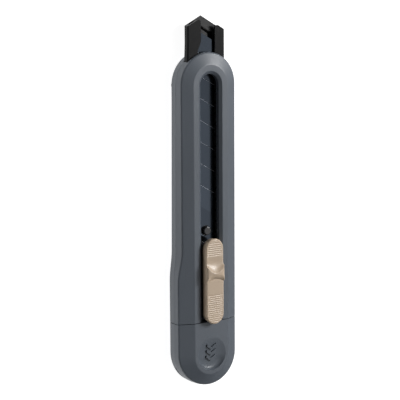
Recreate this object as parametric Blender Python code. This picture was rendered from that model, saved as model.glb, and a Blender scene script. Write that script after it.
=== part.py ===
"""Utility knife with a snap-off blade, lying on its back.

Frame: metres. The origin is the centre of the flat back face. +X is across the knife, +Y along it
towards the blade's tip, +Z out of the front face, where the thumb slide is. The cutting edge and the
belly of the handle are on the -X side.
"""

import math

import bmesh
import bpy
from mathutils import Matrix, Vector

MM = 0.001

# Blade: a standard snap-off strip, which the rest of the knife is built round
BLADE_WIDTH = 18.0 * MM
BLADE_THICKNESS = 0.5 * MM
BLADE_LENGTH = 100.0 * MM
BLADE_SLANT = math.radians(30.0)
BLADE_BEVEL = 1.7 * MM
BLADE_EDGE_THICKNESS = 0.08 * MM
BLADE_HOLE_FROM_REAR = 4.9 * MM
SEGMENT_PITCH = 10.0 * MM
SCORE_COUNT = 7
SCORE_WIDTH = 0.3 * MM
SCORE_DEEP = 0.12 * MM

# Clearances
GAP = 0.3 * MM
BLADE_SIDE_PLAY = 0.3 * MM
BLADE_ABOVE_PLATE = 0.6 * MM
LIP_ABOVE_BLADE = 0.6 * MM
SLIDE_SIDE_PLAY = 0.25 * MM
PEG_CLEARANCE = 0.45 * MM
PIN_CLEARANCE = 0.15 * MM
STEM_CLEARANCE = 0.2 * MM
SPRING_CLEARANCE = 0.1 * MM

# Blade channel
CHANNEL_WALL = 0.7 * MM
CHANNEL_PLATE = 0.6 * MM
CHANNEL_SINK = 3.3 * MM
CHANNEL_END_STANDOFF = 1.0 * MM
LEFT_LIP_SHOWS = 0.3 * MM
RIGHT_LIP_SHOWS = 0.4 * MM
HEAD_LIP_SHOWS = 2.2 * MM
HEAD_LIP_START = 4.6 * MM
HEAD_LIP_TAPER = 3.6 * MM
HEAD_OUT = 16.0 * MM
HEAD_PEAK_X = -1.4 * MM
HEAD_LEFT_DROP = 4.2 * MM
HEAD_SLOT_HEIGHT = 1.0 * MM
HEAD_SLOT_LENGTH = 6.0 * MM
HEAD_SLOT_BELOW_PEAK = 4.7 * MM
HEAD_HOLE_RADIUS = 1.5 * MM
HEAD_HOLE_X = 3.4 * MM
HEAD_HOLE_BELOW_PEAK = 8.7 * MM
BLADE_INSIDE_HEAD = 3.6 * MM
GUTTER_WIDTH = 8.4 * MM
GUTTER_DEEP = 1.0 * MM
GUTTER_BELOW_TOP = 5.8 * MM

# Carrier, lock and thumb slide
CARRIER_LENGTH = 35.8 * MM
CARRIER_REACH = 4.4 * MM
PEG_RADIUS = 2.0 * MM
PEG_PROUD = 1.7 * MM
TRAVEL_PITCH = 5.0 * MM
NOTCH_COUNT = 18
NOTCH_WIDTH = 1.0 * MM
NOTCH_DEEP = 0.8 * MM
WINDOW_LENGTH = 12.0 * MM
WINDOW_WIDTH = 4.4 * MM
SPRING_THICKNESS = 0.35 * MM
SPRING_LENGTH = 22.0 * MM
SPRING_POCKET = 0.9 * MM
SPRING_HOOK = 0.5 * MM
SPRING_HOOK_REACH = 2.0 * MM
BLOCK_END = 2.5 * MM
TOOTH_WIDTH = 2.0 * MM
TOOTH_OFFSET = 2.2 * MM
SLIDE_LENGTH = 40.2 * MM
SLIDE_BELOW_PEG = 0.8 * MM
SLIDE_PROUD = 2.6 * MM
SLIDE_BUMP = 1.8 * MM
SLIDE_LOW_RISE = 0.3 * MM
SLIDE_WALL = 1.5 * MM
SLIDE_ROOF = 1.8 * MM
SLIDE_PLAY = 0.8 * MM
RIB_PITCH = 0.94 * MM
RIB_GROOVE = 0.45 * MM
RIB_DEEP = 0.35 * MM
RIB_LAND = 1.65 * MM
LOWER_RIB_SHARE = 0.345
BUMP_SHARE = 0.537
CREST_SHARE = 0.622
SCOOP_SHARE = 0.796
SCOOP_STEPS = 8
SCOOP_POWER = 2.4
SLIDE_END_EASE = 0.8 * MM
CREST_EASE = 1.0 * MM

# Handle
BODY_DEPTH = 12.0 * MM
SIDE_ROOM = 3.2 * MM
WALL = 1.8 * MM
FRONT_WALL = 2.0 * MM
FRONT_SLOPE = math.radians(20.0)
FRONT_SLOPE_WIDTH = 5.75 * MM
BACK_CHAMFER = 2.1 * MM
SIDE_DRAFT = 0.2 * MM
PARTING_LIFT = 0.2 * MM
BACK_FLARE = 0.7 * MM
BACK_FLARE_BELOW_ARCH = 7.0 * MM
BELLY_OUT = 1.95 * MM
BELLY_START_UP = 34.5 * MM
BELLY_FULL_UP = 19.5 * MM
BELLY_STEPS = 10
ARC_STEPS = 14
SLOT_WIDTH = 10.0 * MM
SLOT_EDGE_OUT = 1.4 * MM
SLOT_EDGE_DEEP = 1.1 * MM
SLOT_RIM = 1.2 * MM
RAIL_WIDTH = 1.2 * MM
RAIL_STANDOFF = 0.9 * MM
RAIL_PAST_ARCH = 6.0 * MM
CROSS_RIB_INSET = 6.0 * MM
CROSS_RIB_COUNT = 5
PIN_RADIUS = 0.7 * MM
PIN_HEIGHT = 1.4 * MM
BOSS_WALL = 0.7 * MM
PIN_ROWS = 3
PIN_ABOVE_BELLY = 10.0 * MM
PIN_BELOW_ARCH = 4.0 * MM

# End cap
CAP_LENGTH = 31.0 * MM
PLUG_LENGTH = 5.0 * MM
PLUG_WALL = 1.2 * MM
DISH_DIAMETER = 15.8 * MM
DISH_UP = 0.5 * MM
DISH_TILT = math.radians(7.5)
DISH_FLOOR_WALL = 1.4 * MM
MARK_WIDTH = 5.4 * MM
MARK_DROP = 1.9 * MM
MARK_STROKE = 1.1 * MM
MARK_PITCH = 2.6 * MM
MARK_COUNT = 2
MARK_RELIEF = 0.45 * MM
SNAP_SLOT_WIDTH = 1.0 * MM
SNAP_SLOT_REACH = 9.0 * MM
SNAP_SLOT_LENGTH = 20.0 * MM
SNAP_SLOT_Z = 3.9 * MM

# The handle's size follows from the blade, the carrier and the cap
CHANNEL_WIDTH = BLADE_WIDTH + 2 * (BLADE_SIDE_PLAY + CHANNEL_WALL)
BODY_WIDTH = CHANNEL_WIDTH + 2 * (SIDE_ROOM + WALL)
FRONT_FLAT_WIDTH = BODY_WIDTH - 2 * FRONT_SLOPE_WIDTH
INSIDE_LENGTH = CHANNEL_END_STANDOFF + GAP + CARRIER_LENGTH + GAP + BLADE_LENGTH + BLADE_INSIDE_HEAD
BODY_LENGTH = CAP_LENGTH + INSIDE_LENGTH - HEAD_OUT

BLADE_HOLE_RADIUS = PEG_RADIUS + PEG_CLEARANCE

# Heights, from the front face down
CHANNEL_HIGH_Z = BODY_DEPTH - CHANNEL_SINK
LIP_LOW_Z = CHANNEL_HIGH_Z - CHANNEL_WALL
BLADE_HIGH_Z = LIP_LOW_Z - LIP_ABOVE_BLADE
BLADE_LOW_Z = BLADE_HIGH_Z - BLADE_THICKNESS
PLATE_TOP_Z = BLADE_LOW_Z - BLADE_ABOVE_PLATE
CHANNEL_LOW_Z = PLATE_TOP_Z - CHANNEL_PLATE
PARTING_Z = CHANNEL_LOW_Z + PARTING_LIFT
SLIDE_TOP_Z = BODY_DEPTH + SLIDE_PROUD
SLIDE_UNDER_Z = CHANNEL_HIGH_Z + GAP

# Places along the knife
BOTTOM_Y = -BODY_LENGTH / 2
TOP_Y = BODY_LENGTH / 2
TOP_CENTRE_Y = TOP_Y - BODY_WIDTH / 2
BOTTOM_CENTRE_Y = BOTTOM_Y + BODY_WIDTH / 2
JOINT_Y = BOTTOM_Y + CAP_LENGTH
PEAK_Y = TOP_Y + HEAD_OUT
BELLY_START_Y = JOINT_Y + BELLY_START_UP
BELLY_FULL_Y = JOINT_Y + BELLY_FULL_UP
BACK_FLARE_TOP_Y = TOP_CENTRE_Y - BACK_FLARE_BELOW_ARCH
CHANNEL_END_Y = JOINT_Y + CHANNEL_END_STANDOFF
BLADE_TIP_Y = PEAK_Y - BLADE_INSIDE_HEAD
BLADE_REAR_Y = BLADE_TIP_Y - BLADE_LENGTH
BLADE_HOLE_Y = BLADE_REAR_Y + BLADE_HOLE_FROM_REAR
CARRIER_REAR_Y = CHANNEL_END_Y + GAP
CARRIER_FRONT_Y = BLADE_REAR_Y - GAP
TONGUE_FRONT_Y = BLADE_HOLE_Y + CARRIER_REACH
GUTTER_FRONT_Y = TOP_Y - GUTTER_BELOW_TOP
SLIDE_HIGH_Y = BLADE_HOLE_Y - PEG_RADIUS - SLIDE_BELOW_PEG
SLIDE_LOW_Y = SLIDE_HIGH_Y - SLIDE_LENGTH
SLIDE_MID_Y = (CARRIER_REAR_Y + CARRIER_FRONT_Y) / 2
LOCK_Y = SLIDE_MID_Y + TOOTH_OFFSET
DISH_Y = BOTTOM_CENTRE_Y + DISH_UP

# Places across the knife
LEFT_LIP_EDGE = SLOT_WIDTH / 2 - LEFT_LIP_SHOWS
RIGHT_LIP_EDGE = SLOT_WIDTH / 2 - RIGHT_LIP_SHOWS
HEAD_LIP_EDGE = SLOT_WIDTH / 2 - HEAD_LIP_SHOWS
BLOCK_LEFT = LEFT_LIP_EDGE - GAP
POCKET_X = RIGHT_LIP_EDGE - GAP - SPRING_HOOK
BLOCK_RIGHT = POCKET_X - SPRING_POCKET
RAIL_X = (GUTTER_WIDTH + RAIL_WIDTH) / 2 + CHANNEL_PLATE + GAP + RAIL_STANDOFF
SLIDE_WIDTH = SLOT_WIDTH - 2 * SLIDE_SIDE_PLAY

COLOURS = {
    "handle": ((0.122, 0.135, 0.149, 1.0), 0.55, 0.0),
    "cap": ((0.122, 0.135, 0.149, 1.0), 0.55, 0.0),
    "channel": ((0.012, 0.012, 0.013, 1.0), 0.35, 0.0),
    "blade": ((0.020, 0.024, 0.030, 1.0), 0.25, 1.0),
    "carrier": ((0.010, 0.010, 0.011, 1.0), 0.3, 0.0),
    "slide": ((0.49, 0.39, 0.31, 1.0), 0.5, 0.0),
    "spring": ((0.55, 0.55, 0.56, 1.0), 0.3, 1.0),
}


def clear_scene():
    """Remove every object that the file opened with."""
    for old in list(bpy.data.objects):
        bpy.data.objects.remove(old, do_unlink=True)


def material(name):
    """Return the Principled material of one finish."""
    found = bpy.data.materials.get(name)
    if found:
        return found
    made = bpy.data.materials.new(name)
    made.use_nodes = True
    colour, roughness, metallic = COLOURS[name]
    shader = made.node_tree.nodes["Principled BSDF"]
    shader.inputs["Base Color"].default_value = colour
    shader.inputs["Roughness"].default_value = roughness
    shader.inputs["Metallic"].default_value = metallic
    made.diffuse_color = colour
    return made


def new_object(name, bm, finish=None):
    """Turn a bmesh into a named object with its finish."""
    bmesh.ops.recalc_face_normals(bm, faces=bm.faces)
    mesh = bpy.data.meshes.new(name)
    bm.to_mesh(mesh)
    bm.free()
    made = bpy.data.objects.new(name, mesh)
    bpy.context.scene.collection.objects.link(made)
    if finish:
        mesh.materials.append(material(finish))
    return made


def boolean(target, bm, operation="DIFFERENCE"):
    """Cut, join or intersect an object with the solid held in a bmesh, as an exact Boolean modifier."""
    cutter = new_object(target.name + "_tool_%02d" % len(target.modifiers), bm)
    cutter.hide_render = True
    cutter.display_type = "WIRE"
    step = target.modifiers.new(cutter.name, "BOOLEAN")
    step.operation = operation
    step.solver = "EXACT"
    step.object = cutter
    return target


def smooth(target, angle=math.radians(30)):
    """Shade round stretches smooth and keep real edges sharp."""
    target.data.shade_smooth()
    target.data.set_sharp_from_angle(angle=angle)
    return target


def loft(rings):
    """Return a closed solid through rings of equal point counts, first and last ring capped."""
    bm = bmesh.new()
    layers = [[bm.verts.new(point) for point in ring] for ring in rings]
    count = len(layers[0])
    for low, high in zip(layers, layers[1:]):
        for i in range(count):
            j = (i + 1) % count
            bm.faces.new((low[i], low[j], high[j], high[i]))
    bm.faces.new(layers[0])
    bm.faces.new(layers[-1])
    return bm


def prism(outline, low_z, high_z):
    """Return an upright prism over an outline of (x, y) points."""
    return loft([[(x, y, low_z) for x, y in outline], [(x, y, high_z) for x, y in outline]])


def side_prism(profile, half_width):
    """Return a prism across the knife over a profile of (y, z) points."""
    return loft([[(-half_width, y, z) for y, z in profile], [(half_width, y, z) for y, z in profile]])


def box(x0, x1, y0, y1, z0, z1):
    """Return a box between its two corners."""
    return prism([(x0, y0), (x1, y0), (x1, y1), (x0, y1)], z0, z1)


def cylinder(x, y, z0, z1, radius, steps=24):
    """Return an upright cylinder."""
    ring = [(x + radius * math.cos(math.tau * i / steps), y + radius * math.sin(math.tau * i / steps))
            for i in range(steps)]
    return prism(ring, z0, z1)


def arc(centre_x, centre_y, radius, start, end, steps=ARC_STEPS):
    """Return points along an arc, both ends included, angles in degrees."""
    angles = [math.radians(start + (end - start) * i / steps) for i in range(steps + 1)]
    return [(centre_x + radius * math.cos(a), centre_y + radius * math.sin(a)) for a in angles]


def capsule(radius, low_y, high_y, steps=ARC_STEPS):
    """Return the outline of a slot with round ends whose centres are at low_y and high_y."""
    return arc(0, high_y, radius, 0, 180, 2 * steps) + arc(0, low_y, radius, 180, 360, 2 * steps)


def belly(y, flare):
    """Return how far the left side stands out at a height y, with the long flare that leads into it."""
    share = (BELLY_START_Y - y) / (BELLY_START_Y - BELLY_FULL_Y)
    share = min(max(share, 0.0), 1.0)
    lead = (BACK_FLARE_TOP_Y - y) / (BACK_FLARE_TOP_Y - BELLY_START_Y)
    lead = min(max(lead, 0.0), 1.0)
    return (BELLY_OUT - flare) * share * share * (3 - 2 * share) + flare * lead


def handle_outline(inset=0.0, flare=0.0):
    """Return the plan outline of the whole handle, cap included, drawn in by an inset."""
    half = BODY_WIDTH / 2
    left_radius = half + BELLY_OUT
    left_centre_y = BOTTOM_Y + left_radius
    span = BELLY_START_Y - BELLY_FULL_Y
    bend = [BELLY_START_Y - span * i / BELLY_STEPS for i in range(BELLY_STEPS + 1)]
    points = arc(0, TOP_CENTRE_Y, half - inset, 0, 180, 2 * ARC_STEPS)
    points += [(-half - belly(y, flare) + inset, y) for y in [BACK_FLARE_TOP_Y] + bend]
    points += arc(0, left_centre_y, left_radius - inset, 180, 270)
    points += arc(0, BOTTOM_CENTRE_Y, half - inset, 270, 360)[1:]
    return points


def flat_point(x, y, drop):
    """Return a shell point on the front slope: its place on the flat's outline and its slope height."""
    centre_y = min(max(y, BOTTOM_CENTRE_Y), TOP_CENTRE_Y)
    reach = math.hypot(x, y - centre_y)
    radius = FRONT_FLAT_WIDTH / 2
    flat = (x * radius / reach, centre_y + (y - centre_y) * radius / reach, BODY_DEPTH - drop)
    shoulder_z = BODY_DEPTH - drop - (reach - radius) * math.tan(FRONT_SLOPE)
    return flat, shoulder_z


def handle_solid():
    """Return the whole outside of the handle as one solid: front slope, two side faces, back chamfer."""
    widest = handle_outline(0.0, BACK_FLARE)
    low_side = handle_outline(SIDE_DRAFT, BACK_FLARE)
    back = handle_outline(SIDE_DRAFT + BACK_CHAMFER, BACK_FLARE)
    high_side = handle_outline(SIDE_DRAFT)
    flats = [flat_point(x, y, 0.0) for x, y in high_side]
    return loft([
        [(x, y, 0.0) for x, y in back],
        [(x, y, BACK_CHAMFER) for x, y in low_side],
        [(x, y, PARTING_Z) for x, y in widest],
        [(x, y, flat[1]) for (x, y), flat in zip(high_side, flats)],
        [flat[0] for flat in flats],
    ])


def handle_cavity(inset, floor_z, drop):
    """Return the hollow that leaves a wall of the given inset, floor and front thickness."""
    outline = handle_outline(inset)
    flats = [flat_point(x, y, drop) for x, y in outline]
    return loft([
        [(x, y, floor_z) for x, y in outline],
        [(x, y, flat[1]) for (x, y), flat in zip(outline, flats)],
        [flat[0] for flat in flats],
    ])


def keep_y(bm, low=None, high=None):
    """Cut a solid off square below low and above high, and close the cuts."""
    for limit, normal in ((low, -1), (high, 1)):
        if limit is None:
            continue
        geometry = bm.verts[:] + bm.edges[:] + bm.faces[:]
        cut = bmesh.ops.bisect_plane(bm, geom=geometry, plane_co=(0, limit, 0),
                                     plane_no=(0, normal, 0), clear_outer=True)
        rim = [part for part in cut["geom_cut"] if isinstance(part, bmesh.types.BMEdge)]
        bmesh.ops.holes_fill(bm, edges=rim)
    return bm


def slot_cutter(far_down):
    """Return the slot with its eased front edge, from far_down to its arch at the top."""
    inner = SLOT_WIDTH / 2
    edge = inner + SLOT_EDGE_OUT
    above = 1 * MM
    outlines = [capsule(inner, far_down, TOP_CENTRE_Y),
                capsule(inner, far_down, TOP_CENTRE_Y),
                capsule(edge, far_down, TOP_CENTRE_Y),
                capsule(edge, far_down, TOP_CENTRE_Y)]
    heights = [PARTING_Z, BODY_DEPTH - SLOT_EDGE_DEEP, BODY_DEPTH, BODY_DEPTH + above]
    return loft([[(x, y, z) for x, y in outline] for outline, z in zip(outlines, heights)])


def channel_window():
    """Return the clearance around the channel where it leaves the top of the handle."""
    half = CHANNEL_WIDTH / 2 + GAP
    return box(-half, half, TOP_CENTRE_Y, PEAK_Y, CHANNEL_LOW_Z - GAP, CHANNEL_HIGH_Z + GAP)


def pin_places():
    """Return the (x, y) places of the pins that register the two shells."""
    low = BELLY_START_Y + PIN_ABOVE_BELLY
    high = TOP_CENTRE_Y - PIN_BELOW_ARCH
    across = BODY_WIDTH / 2 - WALL - PIN_RADIUS - PIN_CLEARANCE
    rows = [low + (high - low) * i / (PIN_ROWS - 1) for i in range(PIN_ROWS)]
    return [(side * across, y) for side in (-1, 1) for y in rows]


def front_shell():
    """Build the front half of the handle with its slot, slot rim and pin sockets."""
    shell = new_object("front_shell", keep_y(handle_solid(), low=JOINT_Y + GAP / 2), "handle")
    below = box(-BODY_WIDTH, BODY_WIDTH, -BODY_LENGTH, BODY_LENGTH, -MM, PARTING_Z + GAP / 2)
    boolean(shell, below)
    boolean(shell, keep_y(handle_cavity(WALL, WALL, FRONT_WALL), low=BOTTOM_Y + WALL))
    rim = capsule(SLOT_WIDTH / 2 + SLOT_RIM, JOINT_Y + BODY_WIDTH / 2, TOP_CENTRE_Y)
    rim_low = CHANNEL_HIGH_Z + GAP
    boolean(shell, keep_y(prism(rim, rim_low, BODY_DEPTH - FRONT_WALL / 2)), "UNION")
    boolean(shell, box(-SLOT_WIDTH / 2 - SLOT_RIM, SLOT_WIDTH / 2 + SLOT_RIM, JOINT_Y + PLUG_LENGTH + GAP,
                       JOINT_Y + BODY_WIDTH, rim_low, BODY_DEPTH - FRONT_WALL / 2), "UNION")
    for x, y in pin_places():
        outer = PIN_RADIUS + PIN_CLEARANCE + BOSS_WALL
        wall_x = math.copysign(BODY_WIDTH / 2 - WALL / 2, x)
        inner_x = x - math.copysign(outer, x)
        boolean(shell, box(min(wall_x, inner_x), max(wall_x, inner_x), y - outer, y + outer,
                           PARTING_Z + GAP / 2, BODY_DEPTH - FRONT_WALL), "UNION")
    for x, y in pin_places():
        top = PARTING_Z + PIN_HEIGHT + GAP
        boolean(shell, cylinder(x, y, PARTING_Z - MM, top, PIN_RADIUS + PIN_CLEARANCE, 16))
    boolean(shell, slot_cutter(BOTTOM_CENTRE_Y))
    boolean(shell, channel_window())
    return smooth(shell)


def back_shell():
    """Build the rear half of the handle with the channel's rails, cross ribs and pins."""
    shell = new_object("back_shell", keep_y(handle_solid(), low=JOINT_Y + GAP / 2), "handle")
    above = box(-BODY_WIDTH, BODY_WIDTH, -BODY_LENGTH, BODY_LENGTH, PARTING_Z - GAP / 2, 2 * BODY_DEPTH)
    boolean(shell, above)
    boolean(shell, handle_cavity(WALL, WALL, 0.0))
    low = JOINT_Y + PLUG_LENGTH + MM
    high = TOP_CENTRE_Y + RAIL_PAST_ARCH
    for side in (-1, 1):
        x = side * RAIL_X
        boolean(shell, box(x - RAIL_WIDTH / 2, x + RAIL_WIDTH / 2, low, high, WALL / 2,
                           CHANNEL_LOW_Z - GAP), "UNION")
    rib_top = CHANNEL_LOW_Z - GUTTER_DEEP - GAP
    reach = BODY_WIDTH / 2 - WALL + GAP / 2
    rib_span = high - low - 2 * CROSS_RIB_INSET
    for i in range(CROSS_RIB_COUNT):
        y = low + CROSS_RIB_INSET + rib_span * i / (CROSS_RIB_COUNT - 1)
        boolean(shell, box(-reach, reach, y - RAIL_WIDTH / 2, y + RAIL_WIDTH / 2, WALL / 2, rib_top),
                "UNION")
    for x, y in pin_places():
        boolean(shell, cylinder(x, y, WALL / 2, PARTING_Z + PIN_HEIGHT, PIN_RADIUS, 16), "UNION")
    boolean(shell, channel_window())
    return smooth(shell)


def end_cap():
    """Build the pull-off cap: hollow, with a plug, a tilted dish, a plain mark and the snapping slot."""
    cap = new_object("end_cap", keep_y(handle_solid(), high=JOINT_Y - GAP / 2), "cap")
    dish_deep = DISH_DIAMETER * math.sin(DISH_TILT)
    boolean(cap, handle_cavity(WALL, WALL, dish_deep + DISH_FLOOR_WALL))
    boolean(cap, plug_ring(), "UNION")
    opening = CHANNEL_WIDTH / 2 + 2 * GAP
    boolean(cap, box(-opening, opening, JOINT_Y - PLUG_LENGTH / 2, JOINT_Y + 2 * PLUG_LENGTH,
                     WALL + GAP + PLUG_WALL, BODY_DEPTH - dish_deep - DISH_FLOOR_WALL))
    boolean(cap, box(-opening, opening, JOINT_Y - GAP / 2, JOINT_Y + 2 * PLUG_LENGTH,
                     WALL + GAP + PLUG_WALL, 2 * BODY_DEPTH))
    gutter = GUTTER_WIDTH / 2 + CHANNEL_PLATE + GAP
    boolean(cap, box(-gutter, gutter, JOINT_Y - GAP / 2, JOINT_Y + 2 * PLUG_LENGTH,
                     CHANNEL_LOW_Z - GUTTER_DEEP - GAP, 2 * BODY_DEPTH))
    boolean(cap, dish_cutter())
    for i in range(MARK_COUNT):
        boolean(cap, chevron(DISH_Y + MARK_PITCH * (0.5 - i)), "UNION")
    slot_y = BOTTOM_Y + SNAP_SLOT_REACH
    slot_x = -BODY_WIDTH / 2 - BELLY_OUT
    boolean(cap, box(slot_x - MM, slot_x + SNAP_SLOT_LENGTH, BOTTOM_Y - MM, slot_y,
                     SNAP_SLOT_Z - SNAP_SLOT_WIDTH / 2, SNAP_SLOT_Z + SNAP_SLOT_WIDTH / 2))
    return smooth(cap)


def plug_ring():
    """Return the solid of the cap's plug: a tube that fits inside the shells with a clearance."""
    low = JOINT_Y - PLUG_LENGTH / 2
    high = JOINT_Y + PLUG_LENGTH
    outer = keep_y(handle_cavity(WALL + GAP, WALL + GAP, FRONT_WALL + GAP), low, high)
    ring = bpy.data.meshes.new("plug")
    outer.to_mesh(ring)
    outer.free()
    body = bpy.data.objects.new("plug_guide", ring)
    bpy.context.scene.collection.objects.link(body)
    body.hide_render = True
    body.display_type = "WIRE"
    thick = PLUG_WALL + GAP
    boolean(body, handle_cavity(WALL + thick, WALL + thick, FRONT_WALL + thick))
    evaluated = body.evaluated_get(bpy.context.evaluated_depsgraph_get())
    bm = bmesh.new()
    bm.from_mesh(evaluated.to_mesh())
    return bm


def dish_cutter():
    """Return the round dish: a disc tilted about the top of the dish, deeper towards the cap's end."""
    radius = DISH_DIAMETER / 2
    steps = 48
    ring = [(radius * math.cos(math.tau * i / steps), radius * math.sin(math.tau * i / steps))
            for i in range(steps)]
    low = [(x, DISH_Y + y, BODY_DEPTH - (radius - y) * math.sin(DISH_TILT)) for x, y in ring]
    high = [(x, DISH_Y + y, BODY_DEPTH + DISH_DIAMETER / 4) for x, y in ring]
    return loft([low, high])


def chevron(y):
    """Return one raised chevron on the dish's floor, pointing to the cap's end."""
    half = MARK_WIDTH / 2
    drop = MARK_DROP / 2
    outline = [(-half, y + drop), (0, y - drop), (half, y + drop), (half, y + drop + MARK_STROKE),
               (0, y - drop + MARK_STROKE), (-half, y + drop + MARK_STROKE)]

    def floor(py):
        return BODY_DEPTH - (DISH_DIAMETER / 2 - (py - DISH_Y)) * math.sin(DISH_TILT)

    low = [(px, py, floor(py) - DISH_FLOOR_WALL / 2) for px, py in outline]
    high = [(px, py, floor(py) + MARK_RELIEF) for px, py in outline]
    return loft([low, high])


def head_outline():
    """Return the plan outline of the channel, slanted at its head like the blade."""
    half = CHANNEL_WIDTH / 2
    right_drop = (half - HEAD_PEAK_X) * math.tan(BLADE_SLANT)
    return [(-half, CHANNEL_END_Y), (half, CHANNEL_END_Y), (half, PEAK_Y - right_drop),
            (HEAD_PEAK_X, PEAK_Y), (-half, PEAK_Y - HEAD_LEFT_DROP)]


def blade_channel():
    """Build the folded sheath: plate, side walls, two lips, a gutter, lock notches and a slanted head."""
    half = CHANNEL_WIDTH / 2
    channel = new_object("blade_channel", prism(head_outline(), CHANNEL_LOW_Z, CHANNEL_HIGH_Z), "channel")
    far_low = CHANNEL_END_Y - MM
    far_high = PEAK_Y + MM
    boolean(channel, box(-half + CHANNEL_WALL, half - CHANNEL_WALL, far_low, far_high,
                         PLATE_TOP_Z, LIP_LOW_Z))
    boolean(channel, lip_opening(far_low, far_high))
    gutter = GUTTER_WIDTH / 2
    boolean(channel, box(-gutter - CHANNEL_PLATE, gutter + CHANNEL_PLATE, CHANNEL_END_Y,
                         GUTTER_FRONT_Y + CHANNEL_PLATE, CHANNEL_LOW_Z - GUTTER_DEEP,
                         CHANNEL_LOW_Z + CHANNEL_PLATE / 2), "UNION")
    boolean(channel, box(-gutter, gutter, far_low, GUTTER_FRONT_Y, PLATE_TOP_Z - GUTTER_DEEP,
                         PLATE_TOP_Z + CHANNEL_PLATE))
    for i in range(NOTCH_COUNT):
        boolean(channel, notch_cutter(LOCK_Y + i * TRAVEL_PITCH))
    boolean(channel, head_slot())
    boolean(channel, cylinder(HEAD_HOLE_X, PEAK_Y - HEAD_HOLE_BELOW_PEAK, CHANNEL_LOW_Z - MM,
                              PLATE_TOP_Z + MM / 2, HEAD_HOLE_RADIUS, 20))
    return smooth(channel)


def lip_opening(far_low, far_high):
    """Return the opening between the two lips, narrower at the head where the left lip widens."""
    widen_y = TOP_Y + HEAD_LIP_START
    outline = [(-LEFT_LIP_EDGE, far_low), (RIGHT_LIP_EDGE, far_low), (RIGHT_LIP_EDGE, far_high),
               (-HEAD_LIP_EDGE, far_high), (-HEAD_LIP_EDGE, widen_y),
               (-LEFT_LIP_EDGE, widen_y - HEAD_LIP_TAPER)]
    return prism(outline, PLATE_TOP_Z + MM / 2, CHANNEL_HIGH_Z + MM)


def notch_cutter(y):
    """Return one V notch in the right lip's edge."""
    outline = [(RIGHT_LIP_EDGE - MM / 2, y - NOTCH_WIDTH), (RIGHT_LIP_EDGE + NOTCH_DEEP, y - NOTCH_WIDTH / 4),
               (RIGHT_LIP_EDGE + NOTCH_DEEP, y + NOTCH_WIDTH / 4), (RIGHT_LIP_EDGE - MM / 2, y + NOTCH_WIDTH)]
    return prism(outline, LIP_LOW_Z - MM / 2, CHANNEL_HIGH_Z + MM)


def head_slot():
    """Return the slanted slot near the head, parallel to the blade's front edge."""
    bm = box(-HEAD_SLOT_LENGTH / 2, HEAD_SLOT_LENGTH / 2, -HEAD_SLOT_HEIGHT / 2, HEAD_SLOT_HEIGHT / 2,
             CHANNEL_LOW_Z - MM, PLATE_TOP_Z + MM / 2)
    bm.transform(Matrix.Rotation(-BLADE_SLANT, 4, "Z"))
    bm.transform(Matrix.Translation((HEAD_PEAK_X + HEAD_SLOT_LENGTH / 2,
                                     PEAK_Y - HEAD_SLOT_BELOW_PEAK - HEAD_SLOT_LENGTH / 4, 0)))
    return bm


def blade():
    """Build the snap-off blade with its ground edge, score lines and hole."""
    half = BLADE_WIDTH / 2
    front_drop = BLADE_WIDTH * math.tan(BLADE_SLANT)
    thin = (BLADE_THICKNESS - BLADE_EDGE_THICKNESS) / 2
    middle = BLADE_LOW_Z + BLADE_THICKNESS / 2
    bevel_drop = BLADE_BEVEL * math.tan(BLADE_SLANT)

    def ring(x, drop, half_thickness):
        low, high = middle - half_thickness, middle + half_thickness
        return [(x, BLADE_REAR_Y, low), (x, BLADE_TIP_Y - drop, low),
                (x, BLADE_TIP_Y - drop, high), (x, BLADE_REAR_Y, high)]

    rings = [ring(-half, 0, BLADE_THICKNESS / 2 - thin),
             ring(-half + BLADE_BEVEL, bevel_drop, BLADE_THICKNESS / 2),
             ring(half, front_drop, BLADE_THICKNESS / 2)]
    strip = new_object("blade", loft(rings), "blade")
    boolean(strip, cylinder(0, BLADE_HOLE_Y, BLADE_LOW_Z - MM, BLADE_HIGH_Z + MM, BLADE_HOLE_RADIUS, 32))
    for i in range(SCORE_COUNT):
        boolean(strip, score_cutter((i + 1) * SEGMENT_PITCH))
    return smooth(strip)


def score_cutter(back_from_tip):
    """Return one V groove across the blade's front face, parallel to its front edge."""
    length = BLADE_WIDTH / math.cos(BLADE_SLANT) + 4 * MM
    groove = [(-length / 2, -SCORE_WIDTH / 2, BLADE_HIGH_Z + SCORE_DEEP / 4),
              (-length / 2, 0, BLADE_HIGH_Z - SCORE_DEEP),
              (-length / 2, SCORE_WIDTH / 2, BLADE_HIGH_Z + SCORE_DEEP / 4)]
    bm = loft([groove, [(-x, y, z) for x, y, z in groove]])
    bm.transform(Matrix.Rotation(-BLADE_SLANT, 4, "Z"))
    middle_y = BLADE_TIP_Y - back_from_tip - BLADE_WIDTH / 2 * math.tan(BLADE_SLANT)
    bm.transform(Matrix.Translation((0, middle_y, 0)))
    return bm


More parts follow.
